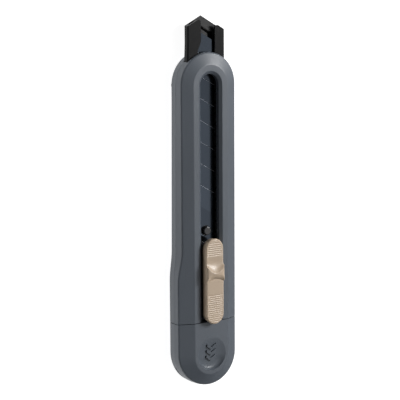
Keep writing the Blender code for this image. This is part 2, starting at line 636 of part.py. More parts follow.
def blade_carrier():
    """Build the carrier: a plate behind the blade, a tongue under it with the peg, and the lock block."""
    half = CHANNEL_WIDTH / 2 - CHANNEL_WALL - GAP
    plate = box(-half, half, CARRIER_REAR_Y, CARRIER_FRONT_Y, PLATE_TOP_Z + GAP, LIP_LOW_Z - GAP)
    carrier = new_object("blade_carrier", plate, "carrier")
    tongue = GUTTER_WIDTH / 2 - GAP
    tongue_top = BLADE_LOW_Z - GAP
    boolean(carrier, box(-tongue, tongue, CARRIER_REAR_Y + MM, TONGUE_FRONT_Y,
                         PLATE_TOP_Z - GUTTER_DEEP + GAP, tongue_top), "UNION")
    peg_top = BLADE_HIGH_Z + PEG_PROUD
    boolean(carrier, cylinder(0, BLADE_HOLE_Y, tongue_top - MM / 2, peg_top, PEG_RADIUS, 24), "UNION")
    boolean(carrier, lock_block(), "UNION")
    half_window = WINDOW_LENGTH / 2
    boolean(carrier, box(-WINDOW_WIDTH / 2, WINDOW_WIDTH / 2, SLIDE_MID_Y - half_window,
                         SLIDE_MID_Y + half_window, PLATE_TOP_Z + GAP / 2, CHANNEL_HIGH_Z + MM))
    return smooth(carrier)


def lock_block():
    """Return the raised block between the lips, with the pocket that holds the lock spring's ends."""
    low = SLIDE_MID_Y - SPRING_LENGTH / 2 - GAP
    high = SLIDE_MID_Y + SPRING_LENGTH / 2 + GAP
    outer = POCKET_X + SPRING_HOOK
    outline = [(-BLOCK_LEFT, low - BLOCK_END), (outer, low - BLOCK_END), (outer, low + SPRING_HOOK_REACH),
               (POCKET_X, low + SPRING_HOOK_REACH), (POCKET_X, low), (BLOCK_RIGHT, low),
               (BLOCK_RIGHT, high), (POCKET_X, high), (POCKET_X, high - SPRING_HOOK_REACH),
               (outer, high - SPRING_HOOK_REACH), (outer, high + BLOCK_END), (-BLOCK_LEFT, high + BLOCK_END)]
    return prism(outline, LIP_LOW_Z - GAP - MM / 2, CHANNEL_HIGH_Z)


def lock_spring():
    """Build the leaf spring: a straight strip with a tooth that stands in one lip notch."""
    x = BLOCK_RIGHT + (SPRING_POCKET - SPRING_THICKNESS) / 2
    reach = RIGHT_LIP_EDGE + NOTCH_DEEP - GAP - SPRING_THICKNESS
    half = SPRING_LENGTH / 2
    tip = NOTCH_WIDTH / 4
    route = [(x, SLIDE_MID_Y - half), (x, LOCK_Y - TOOTH_WIDTH / 2), (reach, LOCK_Y - tip),
             (reach, LOCK_Y + tip), (x, LOCK_Y + TOOTH_WIDTH / 2), (x, SLIDE_MID_Y + half)]
    outline = route + [(px + SPRING_THICKNESS, py) for px, py in reversed(route)]
    low = LIP_LOW_Z - GAP + SPRING_CLEARANCE
    return new_object("lock_spring", prism(outline, low, CHANNEL_HIGH_Z - SPRING_CLEARANCE), "spring")


def slide_profile():
    """Return the thumb slide's side profile, with the bump and the scoop above it."""
    bump_low = SLIDE_LOW_Y + SLIDE_LENGTH * BUMP_SHARE
    crest = SLIDE_LOW_Y + SLIDE_LENGTH * CREST_SHARE
    scoop_end = SLIDE_LOW_Y + SLIDE_LENGTH * SCOOP_SHARE
    top = SLIDE_TOP_Z
    profile = [(SLIDE_LOW_Y, SLIDE_UNDER_Z), (SLIDE_HIGH_Y, SLIDE_UNDER_Z),
               (SLIDE_HIGH_Y, top - SLIDE_END_EASE), (SLIDE_HIGH_Y - SLIDE_END_EASE, top), (scoop_end, top)]
    for i in range(1, SCOOP_STEPS + 1):
        share = i / SCOOP_STEPS
        profile.append((scoop_end + (crest - scoop_end) * share, top + SLIDE_BUMP * share ** SCOOP_POWER))
    low_top = top + SLIDE_LOW_RISE
    profile += [(bump_low + CREST_EASE, top + SLIDE_BUMP), (bump_low, low_top),
                (SLIDE_LOW_Y + SLIDE_END_EASE, low_top), (SLIDE_LOW_Y, low_top - SLIDE_END_EASE)]
    return profile


def thumb_slide():
    """Build the thumb slide: a round-ended button, ribbed, hollow below, with a stem to the carrier."""
    radius = SLIDE_WIDTH / 2
    plan = capsule(radius, SLIDE_LOW_Y + radius, SLIDE_HIGH_Y - radius, 8)
    slide = new_object("thumb_slide", side_prism(slide_profile(), SLIDE_WIDTH), "slide")
    boolean(slide, prism(plan, SLIDE_UNDER_Z - MM, SLIDE_TOP_Z + 2 * SLIDE_BUMP), "INTERSECT")
    hollow = capsule(radius - SLIDE_WALL, SLIDE_LOW_Y + radius, SLIDE_HIGH_Y - radius, 4)
    boolean(slide, prism(hollow, SLIDE_UNDER_Z - MM, SLIDE_TOP_Z - SLIDE_ROOF))
    stem_half = WINDOW_LENGTH / 2 - SLIDE_PLAY - STEM_CLEARANCE
    stem_x = WINDOW_WIDTH / 2 - STEM_CLEARANCE
    boolean(slide, box(-stem_x, stem_x, SLIDE_MID_Y - stem_half, SLIDE_MID_Y + stem_half,
                       PLATE_TOP_Z + 2 * GAP, SLIDE_TOP_Z - SLIDE_ROOF / 2), "UNION")
    over_cap = BODY_DEPTH + GAP
    boolean(slide, box(-SLIDE_WIDTH, SLIDE_WIDTH, SLIDE_LOW_Y - MM, JOINT_Y + GAP + SLIDE_PLAY,
                       SLIDE_UNDER_Z - MM, over_cap))
    for i in range(int(SLIDE_LENGTH * LOWER_RIB_SHARE / RIB_PITCH)):
        boolean(slide, rib_groove(SLIDE_LOW_Y + RIB_LAND + i * RIB_PITCH, SLIDE_TOP_Z + SLIDE_LOW_RISE))
    for i in range(int(SLIDE_LENGTH * (1 - SCOOP_SHARE) / RIB_PITCH)):
        boolean(slide, rib_groove(SLIDE_HIGH_Y - RIB_LAND - i * RIB_PITCH, SLIDE_TOP_Z))
    return smooth(slide)


def rib_groove(y, top):
    """Return one groove across the thumb slide's top."""
    half = RIB_GROOVE / 2
    profile = [(y - half, top + MM), (y - half, top - RIB_DEEP / 2), (y, top - RIB_DEEP),
               (y + half, top - RIB_DEEP / 2), (y + half, top + MM)]
    return side_prism(profile, SLIDE_WIDTH)


def body_empty(name, y, children):
    """Parent pieces that move together to one empty, placed on their joint's axis."""
    empty = bpy.data.objects.new(name, None)
    empty.location = Vector((0, y, PLATE_TOP_Z))
    bpy.context.scene.collection.objects.link(empty)
    bpy.context.view_layer.update()
    for child in children:
        child.parent = empty
        child.matrix_parent_inverse = empty.matrix_world.inverted()
    return empty


def main():
    """Build every piece and group the moving ones."""
    clear_scene()
    front_shell()
    back_shell()
    blade_channel()
    cap = end_cap()
    strip = blade()
    carrier = blade_carrier()
    spring = lock_spring()
    slide = thumb_slide()
    body_empty("carriage", SLIDE_MID_Y, [strip, carrier, spring, slide])
    body_empty("cap_end", JOINT_Y, [cap])


main()
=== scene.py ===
"""The looks of a snap-off utility knife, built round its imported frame.

Frame: metres. The knife lies on its back with the blade's tip towards +Y, the thumb slide on the +Z side
and the cutting edge and the handle's belly towards -X. Sizes are the knife's own; places come from the
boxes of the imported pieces.
"""

import logging
import math
from dataclasses import dataclass, field
from enum import Enum
from typing import Callable, Iterable, Sequence

import bpy
from mathutils import Matrix, Vector


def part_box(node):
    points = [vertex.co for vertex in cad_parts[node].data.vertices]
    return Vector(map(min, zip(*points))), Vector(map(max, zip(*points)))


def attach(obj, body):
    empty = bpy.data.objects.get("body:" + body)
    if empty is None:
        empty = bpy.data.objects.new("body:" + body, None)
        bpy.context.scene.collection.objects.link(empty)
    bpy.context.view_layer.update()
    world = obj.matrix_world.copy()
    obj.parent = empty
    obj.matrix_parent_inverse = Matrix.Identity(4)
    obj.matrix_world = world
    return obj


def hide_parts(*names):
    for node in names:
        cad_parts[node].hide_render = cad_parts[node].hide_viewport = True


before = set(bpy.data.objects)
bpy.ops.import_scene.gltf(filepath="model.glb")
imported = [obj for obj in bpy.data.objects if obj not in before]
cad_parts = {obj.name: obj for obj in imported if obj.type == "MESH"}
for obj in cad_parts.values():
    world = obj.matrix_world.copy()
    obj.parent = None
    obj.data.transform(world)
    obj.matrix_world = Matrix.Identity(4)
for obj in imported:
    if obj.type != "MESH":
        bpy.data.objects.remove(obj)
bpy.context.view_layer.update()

MM = 0.001
LOG = logging.getLogger("utility_knife")

Point2 = tuple[float, float]
Corner = tuple[float, float, float]
Shift = Callable[[Vector], Vector]


class Body(Enum):
    """The moving bodies that a piece can ride on."""

    HANDLE = "body"
    CAP = "cap"
    CARRIAGE = "carriage"
    SLIDE = "slide"


class Slot(Enum):
    """The record's material slots."""

    HANDLE = "handle"
    CAP = "cap"
    CHANNEL = "channel"
    BLADE = "blade"
    CARRIER = "carrier"
    SPRING = "spring"
    SLIDE = "slide"


class Joining(Enum):
    """How a tool solid works on a piece."""

    CUT = "DIFFERENCE"
    ADD = "UNION"


# ---------------------------------------------------------------------------------------------------
# Modelling steps shared by every sub-assembly
# ---------------------------------------------------------------------------------------------------


def pick_only(piece: bpy.types.Object) -> None:
    """Leave one object selected and active, in object mode.

    Args:
        piece: The object to work on next.
    """
    if bpy.context.object and bpy.context.object.mode != "OBJECT":
        bpy.ops.object.mode_set(mode="OBJECT")
    bpy.ops.object.select_all(action="DESELECT")
    piece.select_set(True)
    bpy.context.view_layer.objects.active = piece


def start_clean() -> None:
    """Leave nothing selected before a primitive is added."""
    if bpy.context.object and bpy.context.object.mode != "OBJECT":
        bpy.ops.object.mode_set(mode="OBJECT")
    bpy.ops.object.select_all(action="DESELECT")


def edit_all(piece: bpy.types.Object) -> None:
    """Open a piece in edit mode with everything selected."""
    pick_only(piece)
    bpy.ops.object.mode_set(mode="EDIT")
    bpy.ops.mesh.select_all(action="SELECT")


def leave_edit() -> None:
    """Go back to object mode."""
    bpy.ops.object.mode_set(mode="OBJECT")


def place_in_mesh(piece: bpy.types.Object) -> bpy.types.Object:
    """Put an object's place, turn and size into its mesh.

    Args:
        piece: The object, which ends at the origin, unturned and unscaled.

    Returns:
        The same object.
    """
    pick_only(piece)
    bpy.ops.object.transform_apply(location=True, rotation=True, scale=True)
    return piece


def block(name: str, low: Sequence[float], high: Sequence[float]) -> bpy.types.Object:
    """Add a box between two corners.

    Args:
        name: The object's name.
        low: Its lowest corner.
        high: Its highest corner.

    Returns:
        The box.
    """
    start_clean()
    middle = [(a + b) / 2 for a, b in zip(low, high)]
    size = [b - a for a, b in zip(low, high)]
    bpy.ops.mesh.primitive_cube_add(size=1, location=middle, scale=size)
    made = bpy.context.object
    made.name = name
    return place_in_mesh(made)


def rod(name: str, place: Sequence[float], radius: float, depth: float, sides: int = 48) -> bpy.types.Object:
    """Add an upright cylinder.

    Args:
        name: The object's name.
        place: Its middle.
        radius: Its radius.
        depth: Its height.
        sides: How many sides it has.

    Returns:
        The cylinder.
    """
    start_clean()
    bpy.ops.mesh.primitive_cylinder_add(vertices=sides, radius=radius, depth=depth, location=place)
    made = bpy.context.object
    made.name = name
    return place_in_mesh(made)


def outline_face(name: str, points: Sequence[Sequence[float]]) -> bpy.types.Object:
    """Add one flat face whose corners are the given points, from a filled circle.

    Args:
        name: The object's name.
        points: The (x, y, z) corners in order.

    Returns:
        The object that holds the face.
    """
    start_clean()
    bpy.ops.mesh.primitive_circle_add(vertices=len(points), radius=MM, fill_type="NGON")
    made = bpy.context.object
    made.name = name
    for vertex, point in zip(made.data.vertices, points):
        vertex.co = point
    return made


def plate(name: str, outline: Sequence[Point2], low_z: float, high_z: float) -> bpy.types.Object:
    """Add an upright plate over a plan outline.

    Args:
        name: The object's name.
        outline: The (x, y) corners in order.
        low_z: The height of its lower face.
        high_z: The height of its upper face.

    Returns:
        The closed plate.
    """
    made = outline_face(name, [(x, y, low_z) for x, y in outline])
    edit_all(made)
    bpy.ops.mesh.extrude_region_move(TRANSFORM_OT_translate={"value": (0, 0, high_z - low_z)})
    bpy.ops.mesh.select_all(action="SELECT")
    bpy.ops.mesh.normals_make_consistent(inside=False)
    leave_edit()
    return made


def joined(pieces: Sequence[bpy.types.Object], name: str) -> bpy.types.Object:
    """Join separate solids into one object.

    Args:
        pieces: The solids, which don't touch each other.
        name: The joined object's name.

    Returns:
        The joined object.
    """
    pick_only(pieces[0])
    for piece in pieces[1:]:
        piece.select_set(True)
    if len(pieces) > 1:
        bpy.ops.object.join()
    made = bpy.context.view_layer.objects.active
    made.name = name
    return made


def copies_along(piece: bpy.types.Object, step: Vector, count: int) -> bpy.types.Object:
    """Repeat one solid in a row, each copy with its own mesh, and join the row.

    Args:
        piece: The solid that is modelled once.
        step: The move from one copy to the next.
        count: How many there are in all.

    Returns:
        The joined row.
    """
    row = [piece]
    for i in range(1, count):
        twin = piece.copy()
        twin.data = piece.data.copy()
        bpy.context.scene.collection.objects.link(twin)
        twin.data.transform(Matrix.Translation(step * i))
        row.append(twin)
    return joined(row, piece.name + "_row")


def work(piece: bpy.types.Object, tool: bpy.types.Object, how: Joining) -> None:
    """Cut a tool solid from a piece or add it, then remove the tool.

    Args:
        piece: The piece that changes.
        tool: The closed solid that works on it.
        how: Whether the tool cuts or adds.
    """
    step = piece.modifiers.new(tool.name, "BOOLEAN")
    step.operation = how.value
    step.solver = "EXACT"
    step.object = tool
    pick_only(piece)
    bpy.ops.object.modifier_apply(modifier=step.name)
    bpy.data.objects.remove(tool, do_unlink=True)


def ease_edges(piece: bpy.types.Object, width: float, segments: int = 3, angle: float = 35.0) -> None:
    """Round the sharp edges of a piece.

    Args:
        piece: The piece.
        width: The width of the rounding.
        segments: How many strips it has.
        angle: Edges that turn by more degrees than this are rounded.
    """
    edit_all(piece)
    bpy.ops.mesh.remove_doubles(threshold=0.002 * MM)
    bpy.ops.mesh.dissolve_limited(angle_limit=math.radians(1.0))
    leave_edit()
    step = piece.modifiers.new("eased edges", "BEVEL")
    step.width = width
    step.segments = segments
    step.limit_method = "ANGLE"
    step.angle_limit = math.radians(angle)
    step.use_clamp_overlap = True
    step.miter_outer = "MITER_ARC"
    pick_only(piece)
    bpy.ops.object.modifier_apply(modifier=step.name)


def shade(piece: bpy.types.Object, angle: float = 32.0) -> None:
    """Shade the round stretches smooth with flat faces kept flat, and keep real edges sharp.

    Args:
        piece: The piece.
        angle: Edges that turn by more degrees than this stay sharp.
    """
    pick_only(piece)
    bpy.ops.object.shade_smooth_by_angle(angle=math.radians(angle))
    step = piece.modifiers.new("flat faces stay flat", "WEIGHTED_NORMAL")
    step.keep_sharp = True
    step.weight = 100
    bpy.ops.object.modifier_apply(modifier=step.name)


def move_points(piece: bpy.types.Object, shift: Shift) -> None:
    """Move every point of a piece by a function of its place.

    Args:
        piece: The piece.
        shift: Gives a point's new place from its old one.
    """
    for vertex in piece.data.vertices:
        vertex.co = shift(vertex.co)


def rounded(corners: Sequence[Corner], steps: int = 5) -> list[Point2]:
    """Round the corners of a closed outline.

    Args:
        corners: Each corner as two coordinates and its radius.
        steps: How many strips each round corner has.

    Returns:
        The outline's points in order.
    """
    points: list[Point2] = []
    count = len(corners)
    for i, (x, y, radius) in enumerate(corners):
        here = Vector((x, y))
        if radius <= 0:
            points.append((x, y))
            continue
        back = (Vector(corners[i - 1][:2]) - here).normalized()
        ahead = (Vector(corners[(i + 1) % count][:2]) - here).normalized()
        half = back.angle(ahead) / 2
        reach = radius / math.tan(half)
        centre = here + (back + ahead).normalized() * radius / math.sin(half)
        first, last = here + back * reach - centre, here + ahead * reach - centre
        start = math.atan2(first.y, first.x)
        turn = (math.atan2(last.y, last.x) - start + math.pi) % math.tau - math.pi
        for k in range(steps + 1):
            angle = start + turn * k / steps
            points.append((centre.x + radius * math.cos(angle), centre.y + radius * math.sin(angle)))
    return points


def smooth_step(value: float, low: float, high: float) -> float:
    """Return 0 below low, 1 above high and a smooth rise between them."""
    share = min(max((value - low) / (high - low), 0.0), 1.0)
    return share * share * (3 - 2 * share)


def swept_u(name: str, section: Sequence[Point2], stations: Sequence[float], centre_y: float,
            steps: int = 72) -> bpy.types.Object:
    """Sweep a closed section up one side, round half a turn and back along the other side.

    Args:
        name: The object's name.
        section: The (x, z) corners of the section on the -X side.
        stations: The places along Y, from the open end to the centre of the turn.
        centre_y: The place along Y of the turn's centre.
        steps: How many strips the half turn has.

    Returns:
        The closed solid.
    """
    made = outline_face(name, [(x, stations[0], z) for x, z in section])
    edit_all(made)
    for near, far in zip(stations, stations[1:]):
        bpy.ops.mesh.extrude_region_move(TRANSFORM_OT_translate={"value": (0, far - near, 0)})
    turn = math.pi if centre_y > stations[0] else -math.pi
    bpy.ops.mesh.spin(steps=steps, angle=turn, center=(0, centre_y, 0), axis=(0, 0, 1))
    back = list(reversed(stations))
    for near, far in zip(back, back[1:]):
        bpy.ops.mesh.extrude_region_move(TRANSFORM_OT_translate={"value": (0, far - near, 0)})
    leave_edit()
    drop_middle_faces(made)
    return made


def drop_middle_faces(piece: bpy.types.Object) -> None:
    """Remove the faces on the middle plane, where two swept halves meet, and close the seam.

    Args:
        piece: The swept solid.
    """
    edit_all(piece)
    bpy.ops.mesh.select_all(action="DESELECT")
    bpy.ops.mesh.select_mode(type="FACE")
    leave_edit()
    for face in piece.data.polygons:
        face.select = all(abs(piece.data.vertices[i].co.x) < 0.001 * MM for i in face.vertices)
    bpy.ops.object.mode_set(mode="EDIT")
    bpy.ops.mesh.delete(type="FACE")
    bpy.ops.mesh.select_mode(type="VERT")
    bpy.ops.mesh.select_all(action="SELECT")
    bpy.ops.mesh.remove_doubles(threshold=0.0005 * MM)
    bpy.ops.mesh.normals_make_consistent(inside=False)
    leave_edit()


def show(piece: bpy.types.Object, body: Body, nodes: Iterable[str]) -> None:
    """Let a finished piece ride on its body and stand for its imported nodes.

    Args:
        piece: The finished piece.
        body: The body it moves with.
        nodes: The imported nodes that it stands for.
    """
    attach(piece, body.value)
    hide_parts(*nodes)
    LOG.info("%s: %d faces on %s", piece.name, len(piece.data.polygons), body.value)


# ---------------------------------------------------------------------------------------------------
# Finishes
# ---------------------------------------------------------------------------------------------------


class NodeBoard:
    """The nodes of one new material, with short ways to add and link them."""

    def __init__(self, name: str) -> None:
        """Start a material that holds a Principled shader.

        Args:
            name: The material's name.
        """
        self.material = bpy.data.materials.new(name)
        self.material.use_nodes = True
        self.tree = self.material.node_tree
        self.shader = self.tree.nodes["Principled BSDF"]
        self.place = self.tree.nodes.new("ShaderNodeTexCoord").outputs["Object"]

    def node(self, kind: str, **settings: object) -> bpy.types.Node:
        """Add a node and set its properties.

        Args:
            kind: The node's type.
            settings: Its properties by name.

        Returns:
            The node.
        """
        made = self.tree.nodes.new(kind)
        for key, value in settings.items():
            setattr(made, key, value)
        return made

    def link(self, source: bpy.types.NodeSocket, target: bpy.types.NodeSocket) -> None:
        """Join an output to an input."""
        self.tree.links.new(source, target)

    def stretched(self, scale: Sequence[float], turn: Sequence[float] = (0, 0, 0)) -> bpy.types.NodeSocket:
        """Return the piece's place, turned and stretched.

        Args:
            scale: The scale along each axis.
            turn: The turn about each axis in radians.

        Returns:
            The mapped place.
        """
        mapping = self.node("ShaderNodeMapping")
        mapping.inputs["Scale"].default_value = scale
        mapping.inputs["Rotation"].default_value = turn
        self.link(self.place, mapping.inputs["Vector"])
        return mapping.outputs["Vector"]

    def noise(self, scale: float, detail: float = 2.0,
              place: bpy.types.NodeSocket | None = None) -> bpy.types.NodeSocket:
        """Return a noise value.

        Args:
            scale: How many features there are per metre.
            detail: How fine its detail is.
            place: Where it is read, or None for the piece's own place.

        Returns:
            The noise from 0 to 1.
        """
        texture = self.node("ShaderNodeTexNoise")
        texture.inputs["Scale"].default_value = scale
        texture.inputs["Detail"].default_value = detail
        self.link(place or self.place, texture.inputs["Vector"])
        return texture.outputs["Fac"]

    def spread(self, value: bpy.types.NodeSocket, low: float, high: float, start: float = 0.3,
               end: float = 0.7) -> bpy.types.NodeSocket:
        """Return a value mapped onto another range.

        Args:
            value: The value to map.
            low: What it gives at the start.
            high: What it gives at the end.
            start: Where the old range starts.
            end: Where the old range ends.

        Returns:
            The mapped value.
        """
        ranged = self.node("ShaderNodeMapRange")
        for key, number in (("From Min", start), ("From Max", end), ("To Min", low), ("To Max", high)):
            ranged.inputs[key].default_value = number
        self.link(value, ranged.inputs["Value"])
        return ranged.outputs["Result"]

    def maths(self, operation: str, first: bpy.types.NodeSocket,
              second: bpy.types.NodeSocket | float) -> bpy.types.NodeSocket:
        """Return the result of a sum on two values.

        Args:
            operation: The operation's name.
            first: The first value.
            second: The second value, linked or fixed.

        Returns:
            The result.
        """
        step = self.node("ShaderNodeMath", operation=operation)
        self.link(first, step.inputs[0])
        if isinstance(second, (int, float)):
            step.inputs[1].default_value = second
        else:
            self.link(second, step.inputs[1])
        return step.outputs["Value"]

    def blended(self, share: bpy.types.NodeSocket, first: Sequence[float],
                second: Sequence[float]) -> bpy.types.NodeSocket:
        """Return a colour between two, by a share.

        Args:
            share: How much of the second colour there is.
            first: The first colour.
            second: The second colour.

        Returns:
            The blended colour.
        """
        mix = self.node("ShaderNodeMix", data_type="RGBA")
        self.link(share, mix.inputs["Factor"])
        colours = [socket for socket in mix.inputs if socket.type == "RGBA"]
        colours[0].default_value = (*first, 1.0)
        colours[1].default_value = (*second, 1.0)
        return [socket for socket in mix.outputs if socket.type == "RGBA"][0]

    def relief(self, height: bpy.types.NodeSocket, depth: float, strength: float) -> None:
        """Give the surface a fine relief.

        Args:
            height: The height from 0 to 1.
            depth: How deep it is.
            strength: How strongly it shows.
        """
        bump = self.node("ShaderNodeBump")
        bump.inputs["Distance"].default_value = depth
        bump.inputs["Strength"].default_value = strength
        self.link(height, bump.inputs["Height"])
        self.link(bump.outputs["Normal"], self.shader.inputs["Normal"])


def scaled(colour: Sequence[float], factor: float) -> tuple[float, ...]:
    """Return a colour made lighter or darker by a factor."""
    return tuple(channel * factor for channel in colour)


@dataclass(frozen=True)
class MouldedPlastic:
    """Spark-eroded moulded plastic: a fine even grain, faint flow marks and lightly rubbed spots."""

    name: str
    colour: tuple[float, float, float]
    roughness: float
    grain: float = 0.16 * MM
    depth: float = 0.008 * MM
    strength: float = 0.5
    mottle: float = 0.05
    coat: float = 0.0
    gloss: float = 0.5

    def build(self) -> bpy.types.Material:
        """Return the material."""
        board = NodeBoard(self.name)
        grain = board.noise(1 / self.grain, 3.0)
        cloud = board.noise(70.0, 2.0, board.stretched((1.0, 0.35, 1.0)))
        rubbed_and_sheen = board.noise(420.0, 4.0)
        base = board.blended(board.spread(cloud, 0.0, 1.0), scaled(self.colour, 1 - self.mottle),
                             scaled(self.colour, 1 + self.mottle))
        board.link(base, board.shader.inputs["Base Color"])
        worn = board.spread(rubbed_and_sheen, -0.018, 0.018)
        speck = board.spread(grain, -0.03, 0.03)
        board.link(board.maths("ADD", board.maths("ADD", worn, speck), self.roughness),
                   board.shader.inputs["Roughness"])
        board.shader.inputs["Coat Weight"].default_value = self.coat
        board.shader.inputs["Specular IOR Level"].default_value = self.gloss
        board.relief(grain, self.depth, self.strength)
        return board.material


@dataclass(frozen=True)
class CoatedSteel:
    """Black coated blade steel: fine lines along the strip, and each segment a shade of its own."""

    name: str
    colour: tuple[float, float, float]
    roughness: float
    tip_y: float
    pitch: float
    slant: float

    def build(self) -> bpy.types.Material:
        """Return the material."""
        board = NodeBoard(self.name)
        lines = board.noise(1.0, 3.0, board.stretched((16000.0, 900.0, 900.0)))
        stain = board.noise(160.0, 4.0)
        base = board.blended(board.maths("MULTIPLY", self.segment_shade(board), 1.0),
                             scaled(self.colour, 0.82), scaled(self.colour, 1.3))
        board.link(base, board.shader.inputs["Base Color"])
        board.shader.inputs["Metallic"].default_value = 1.0
        drawn = board.spread(lines, -0.02, 0.03)
        board.link(board.maths("ADD", board.maths("ADD", drawn, board.spread(stain, -0.015, 0.03)),
                               self.roughness), board.shader.inputs["Roughness"])
        board.relief(lines, 0.0015 * MM, 0.25)
        return board.material

    def segment_shade(self, board: NodeBoard) -> bpy.types.NodeSocket:
        """Return each segment's own shade, from 0 to 1.

        Args:
            board: The material's nodes.

        Returns:
            A value that is the same all over one segment.
        """
        split = board.node("ShaderNodeSeparateXYZ")
        board.link(board.place, split.inputs["Vector"])
        slanted = board.maths("MULTIPLY", split.outputs["X"], math.tan(self.slant))
        along = board.maths("ADD", split.outputs["Y"], slanted)
        counted = board.maths("SUBTRACT", along, self.tip_y - 9 * MM * math.tan(self.slant))
        number = board.maths("FLOOR", board.maths("DIVIDE", counted, self.pitch), 0.0)
        white = board.node("ShaderNodeTexWhiteNoise", noise_dimensions="1D")
        board.link(number, white.inputs["W"])
        return white.outputs["Value"]


@dataclass(frozen=True)
class BrushedSteel:
    """Bare steel with fine grinding lines along one direction."""

    name: str
    colour: tuple[float, float, float]
    roughness: float
    lines: tuple[float, float, float]

    def build(self) -> bpy.types.Material:
        """Return the material."""
        board = NodeBoard(self.name)
        lines = board.noise(1.0, 4.0, board.stretched(self.lines))
        stain = board.noise(300.0, 3.0)
        base = board.blended(board.spread(stain, 0.0, 1.0), scaled(self.colour, 0.9), scaled(self.colour, 1.08))
        board.link(base, board.shader.inputs["Base Color"])
        board.shader.inputs["Metallic"].default_value = 1.0
        board.link(board.maths("ADD", board.spread(lines, -0.08, 0.1), self.roughness),
                   board.shader.inputs["Roughness"])
        board.relief(lines, 0.006 * MM, 0.5)
        return board.material


# ---------------------------------------------------------------------------------------------------
# Handle: two shells and the end cap
# ---------------------------------------------------------------------------------------------------


@dataclass(frozen=True)
class HandleForm:
    """The handle's outside, which both shells and the cap share."""

    top_y: float
    bottom_y: float
    joint_y: float
    parting_z: float
    front_z: float
    half: float
    gap: float = 0.3 * MM
    seam: float = 0.06 * MM
    wall: float = 1.8 * MM
    front_wall: float = 2.0 * MM
    flat_half: float = 9.25 * MM
    slope: float = math.radians(20.0)
    side_draft: float = 0.2 * MM
    back_chamfer: float = 2.1 * MM
    belly_out: float = 1.95 * MM
    belly_start: float = 34.5 * MM
    belly_full: float = 19.5 * MM
    flare: float = 0.7 * MM
    flare_below_arch: float = 7.0 * MM
    full_reach: float = 12.9 * MM
    crease_radius: float = 1.6 * MM
    shoulder_radius: float = 1.0 * MM

    @classmethod
    def from_frame(cls) -> "HandleForm":
        """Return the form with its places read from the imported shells."""
        front_low, front_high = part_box("front_shell")
        cap_low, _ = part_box("end_cap")
        gap = cls.gap
        return cls(top_y=front_high.y, bottom_y=cap_low.y, joint_y=front_low.y - gap / 2,
                   parting_z=front_low.z - gap / 2, front_z=front_high.z, half=front_high.x)

    @property
    def arch_y(self) -> float:
        """The centre of the round top."""
        return self.top_y - self.half

    @property
    def round_y(self) -> float:
        """The centre of the round bottom."""
        return self.bottom_y + self.half

    @property
    def shoulder_z(self) -> float:
        """The height where the front slope meets the side."""
        return self.front_z - (self.half - self.side_draft - self.flat_half) * math.tan(self.slope)

    def side_shift(self, y: float, height_share: float) -> float:
        """Return how far the -X side stands out.

        Args:
            y: The place along the handle.
            height_share: 0 at the parting line and below, 1 at the shoulder.

        Returns:
            The distance.
        """
        start = self.joint_y + self.belly_start
        full = self.joint_y + self.belly_full
        lead_top = self.arch_y - self.flare_below_arch
        rise = 1.0 - smooth_step(y, full, start)
        lead = min(max((lead_top - y) / (lead_top - start), 0.0), 1.0)
        flare = self.flare * (1.0 - height_share)
        return (self.belly_out - flare) * rise + flare * lead

    def swell(self, place: Vector) -> Vector:
        """Give the plain round-ended form its belly on the -X side.

        Args:
            place: A point of the plain form.

        Returns:
            Where the point belongs.
        """
        if place.x >= 0:
            return place
        centre_y = min(max(place.y, self.round_y), self.arch_y)
        reach = math.hypot(place.x, place.y - centre_y)
        share = min(max((reach - self.flat_half) / (self.full_reach - self.flat_half), 0.0), 1.0)
        height = min(max((place.z - self.parting_z) / (self.shoulder_z - self.parting_z), 0.0), 1.0)
        if place.y < self.round_y:
            across, along = -place.x / reach, (self.round_y - place.y) / reach
            out = Vector((-self.belly_out * across, self.belly_out * (1.0 - along), 0))
        else:
            low_run = min((place.y - self.round_y) / (self.joint_y - self.round_y), 1.0)
            lift = self.belly_out * (1.0 - low_run)
            out = Vector((-self.side_shift(place.y, height), lift, 0))
        full_drop = min(height * (self.shoulder_z - self.parting_z) / (3.0 * MM), 1.0)
        drop = -out.x * share * math.tan(self.slope) * full_drop
        return place + out * share - Vector((0, 0, drop))

    def stations(self, low: float, high: float) -> list[float]:
        """Return the places along Y where the swept shells need points.

        Args:
            low: The lowest place.
            high: The highest place.

        Returns:
            The places in rising order.
        """
        start = self.joint_y + self.belly_start
        full = self.joint_y + self.belly_full
        bend = [full + (start - full) * i / 16 for i in range(17)]
        lead_top = self.arch_y - self.flare_below_arch
        plain = [start + (lead_top - start) * i / 6 for i in range(1, 7)]
        inside = [y for y in bend + plain if low + 0.1 * MM < y < high - 0.1 * MM]
        return [low, *inside, high]


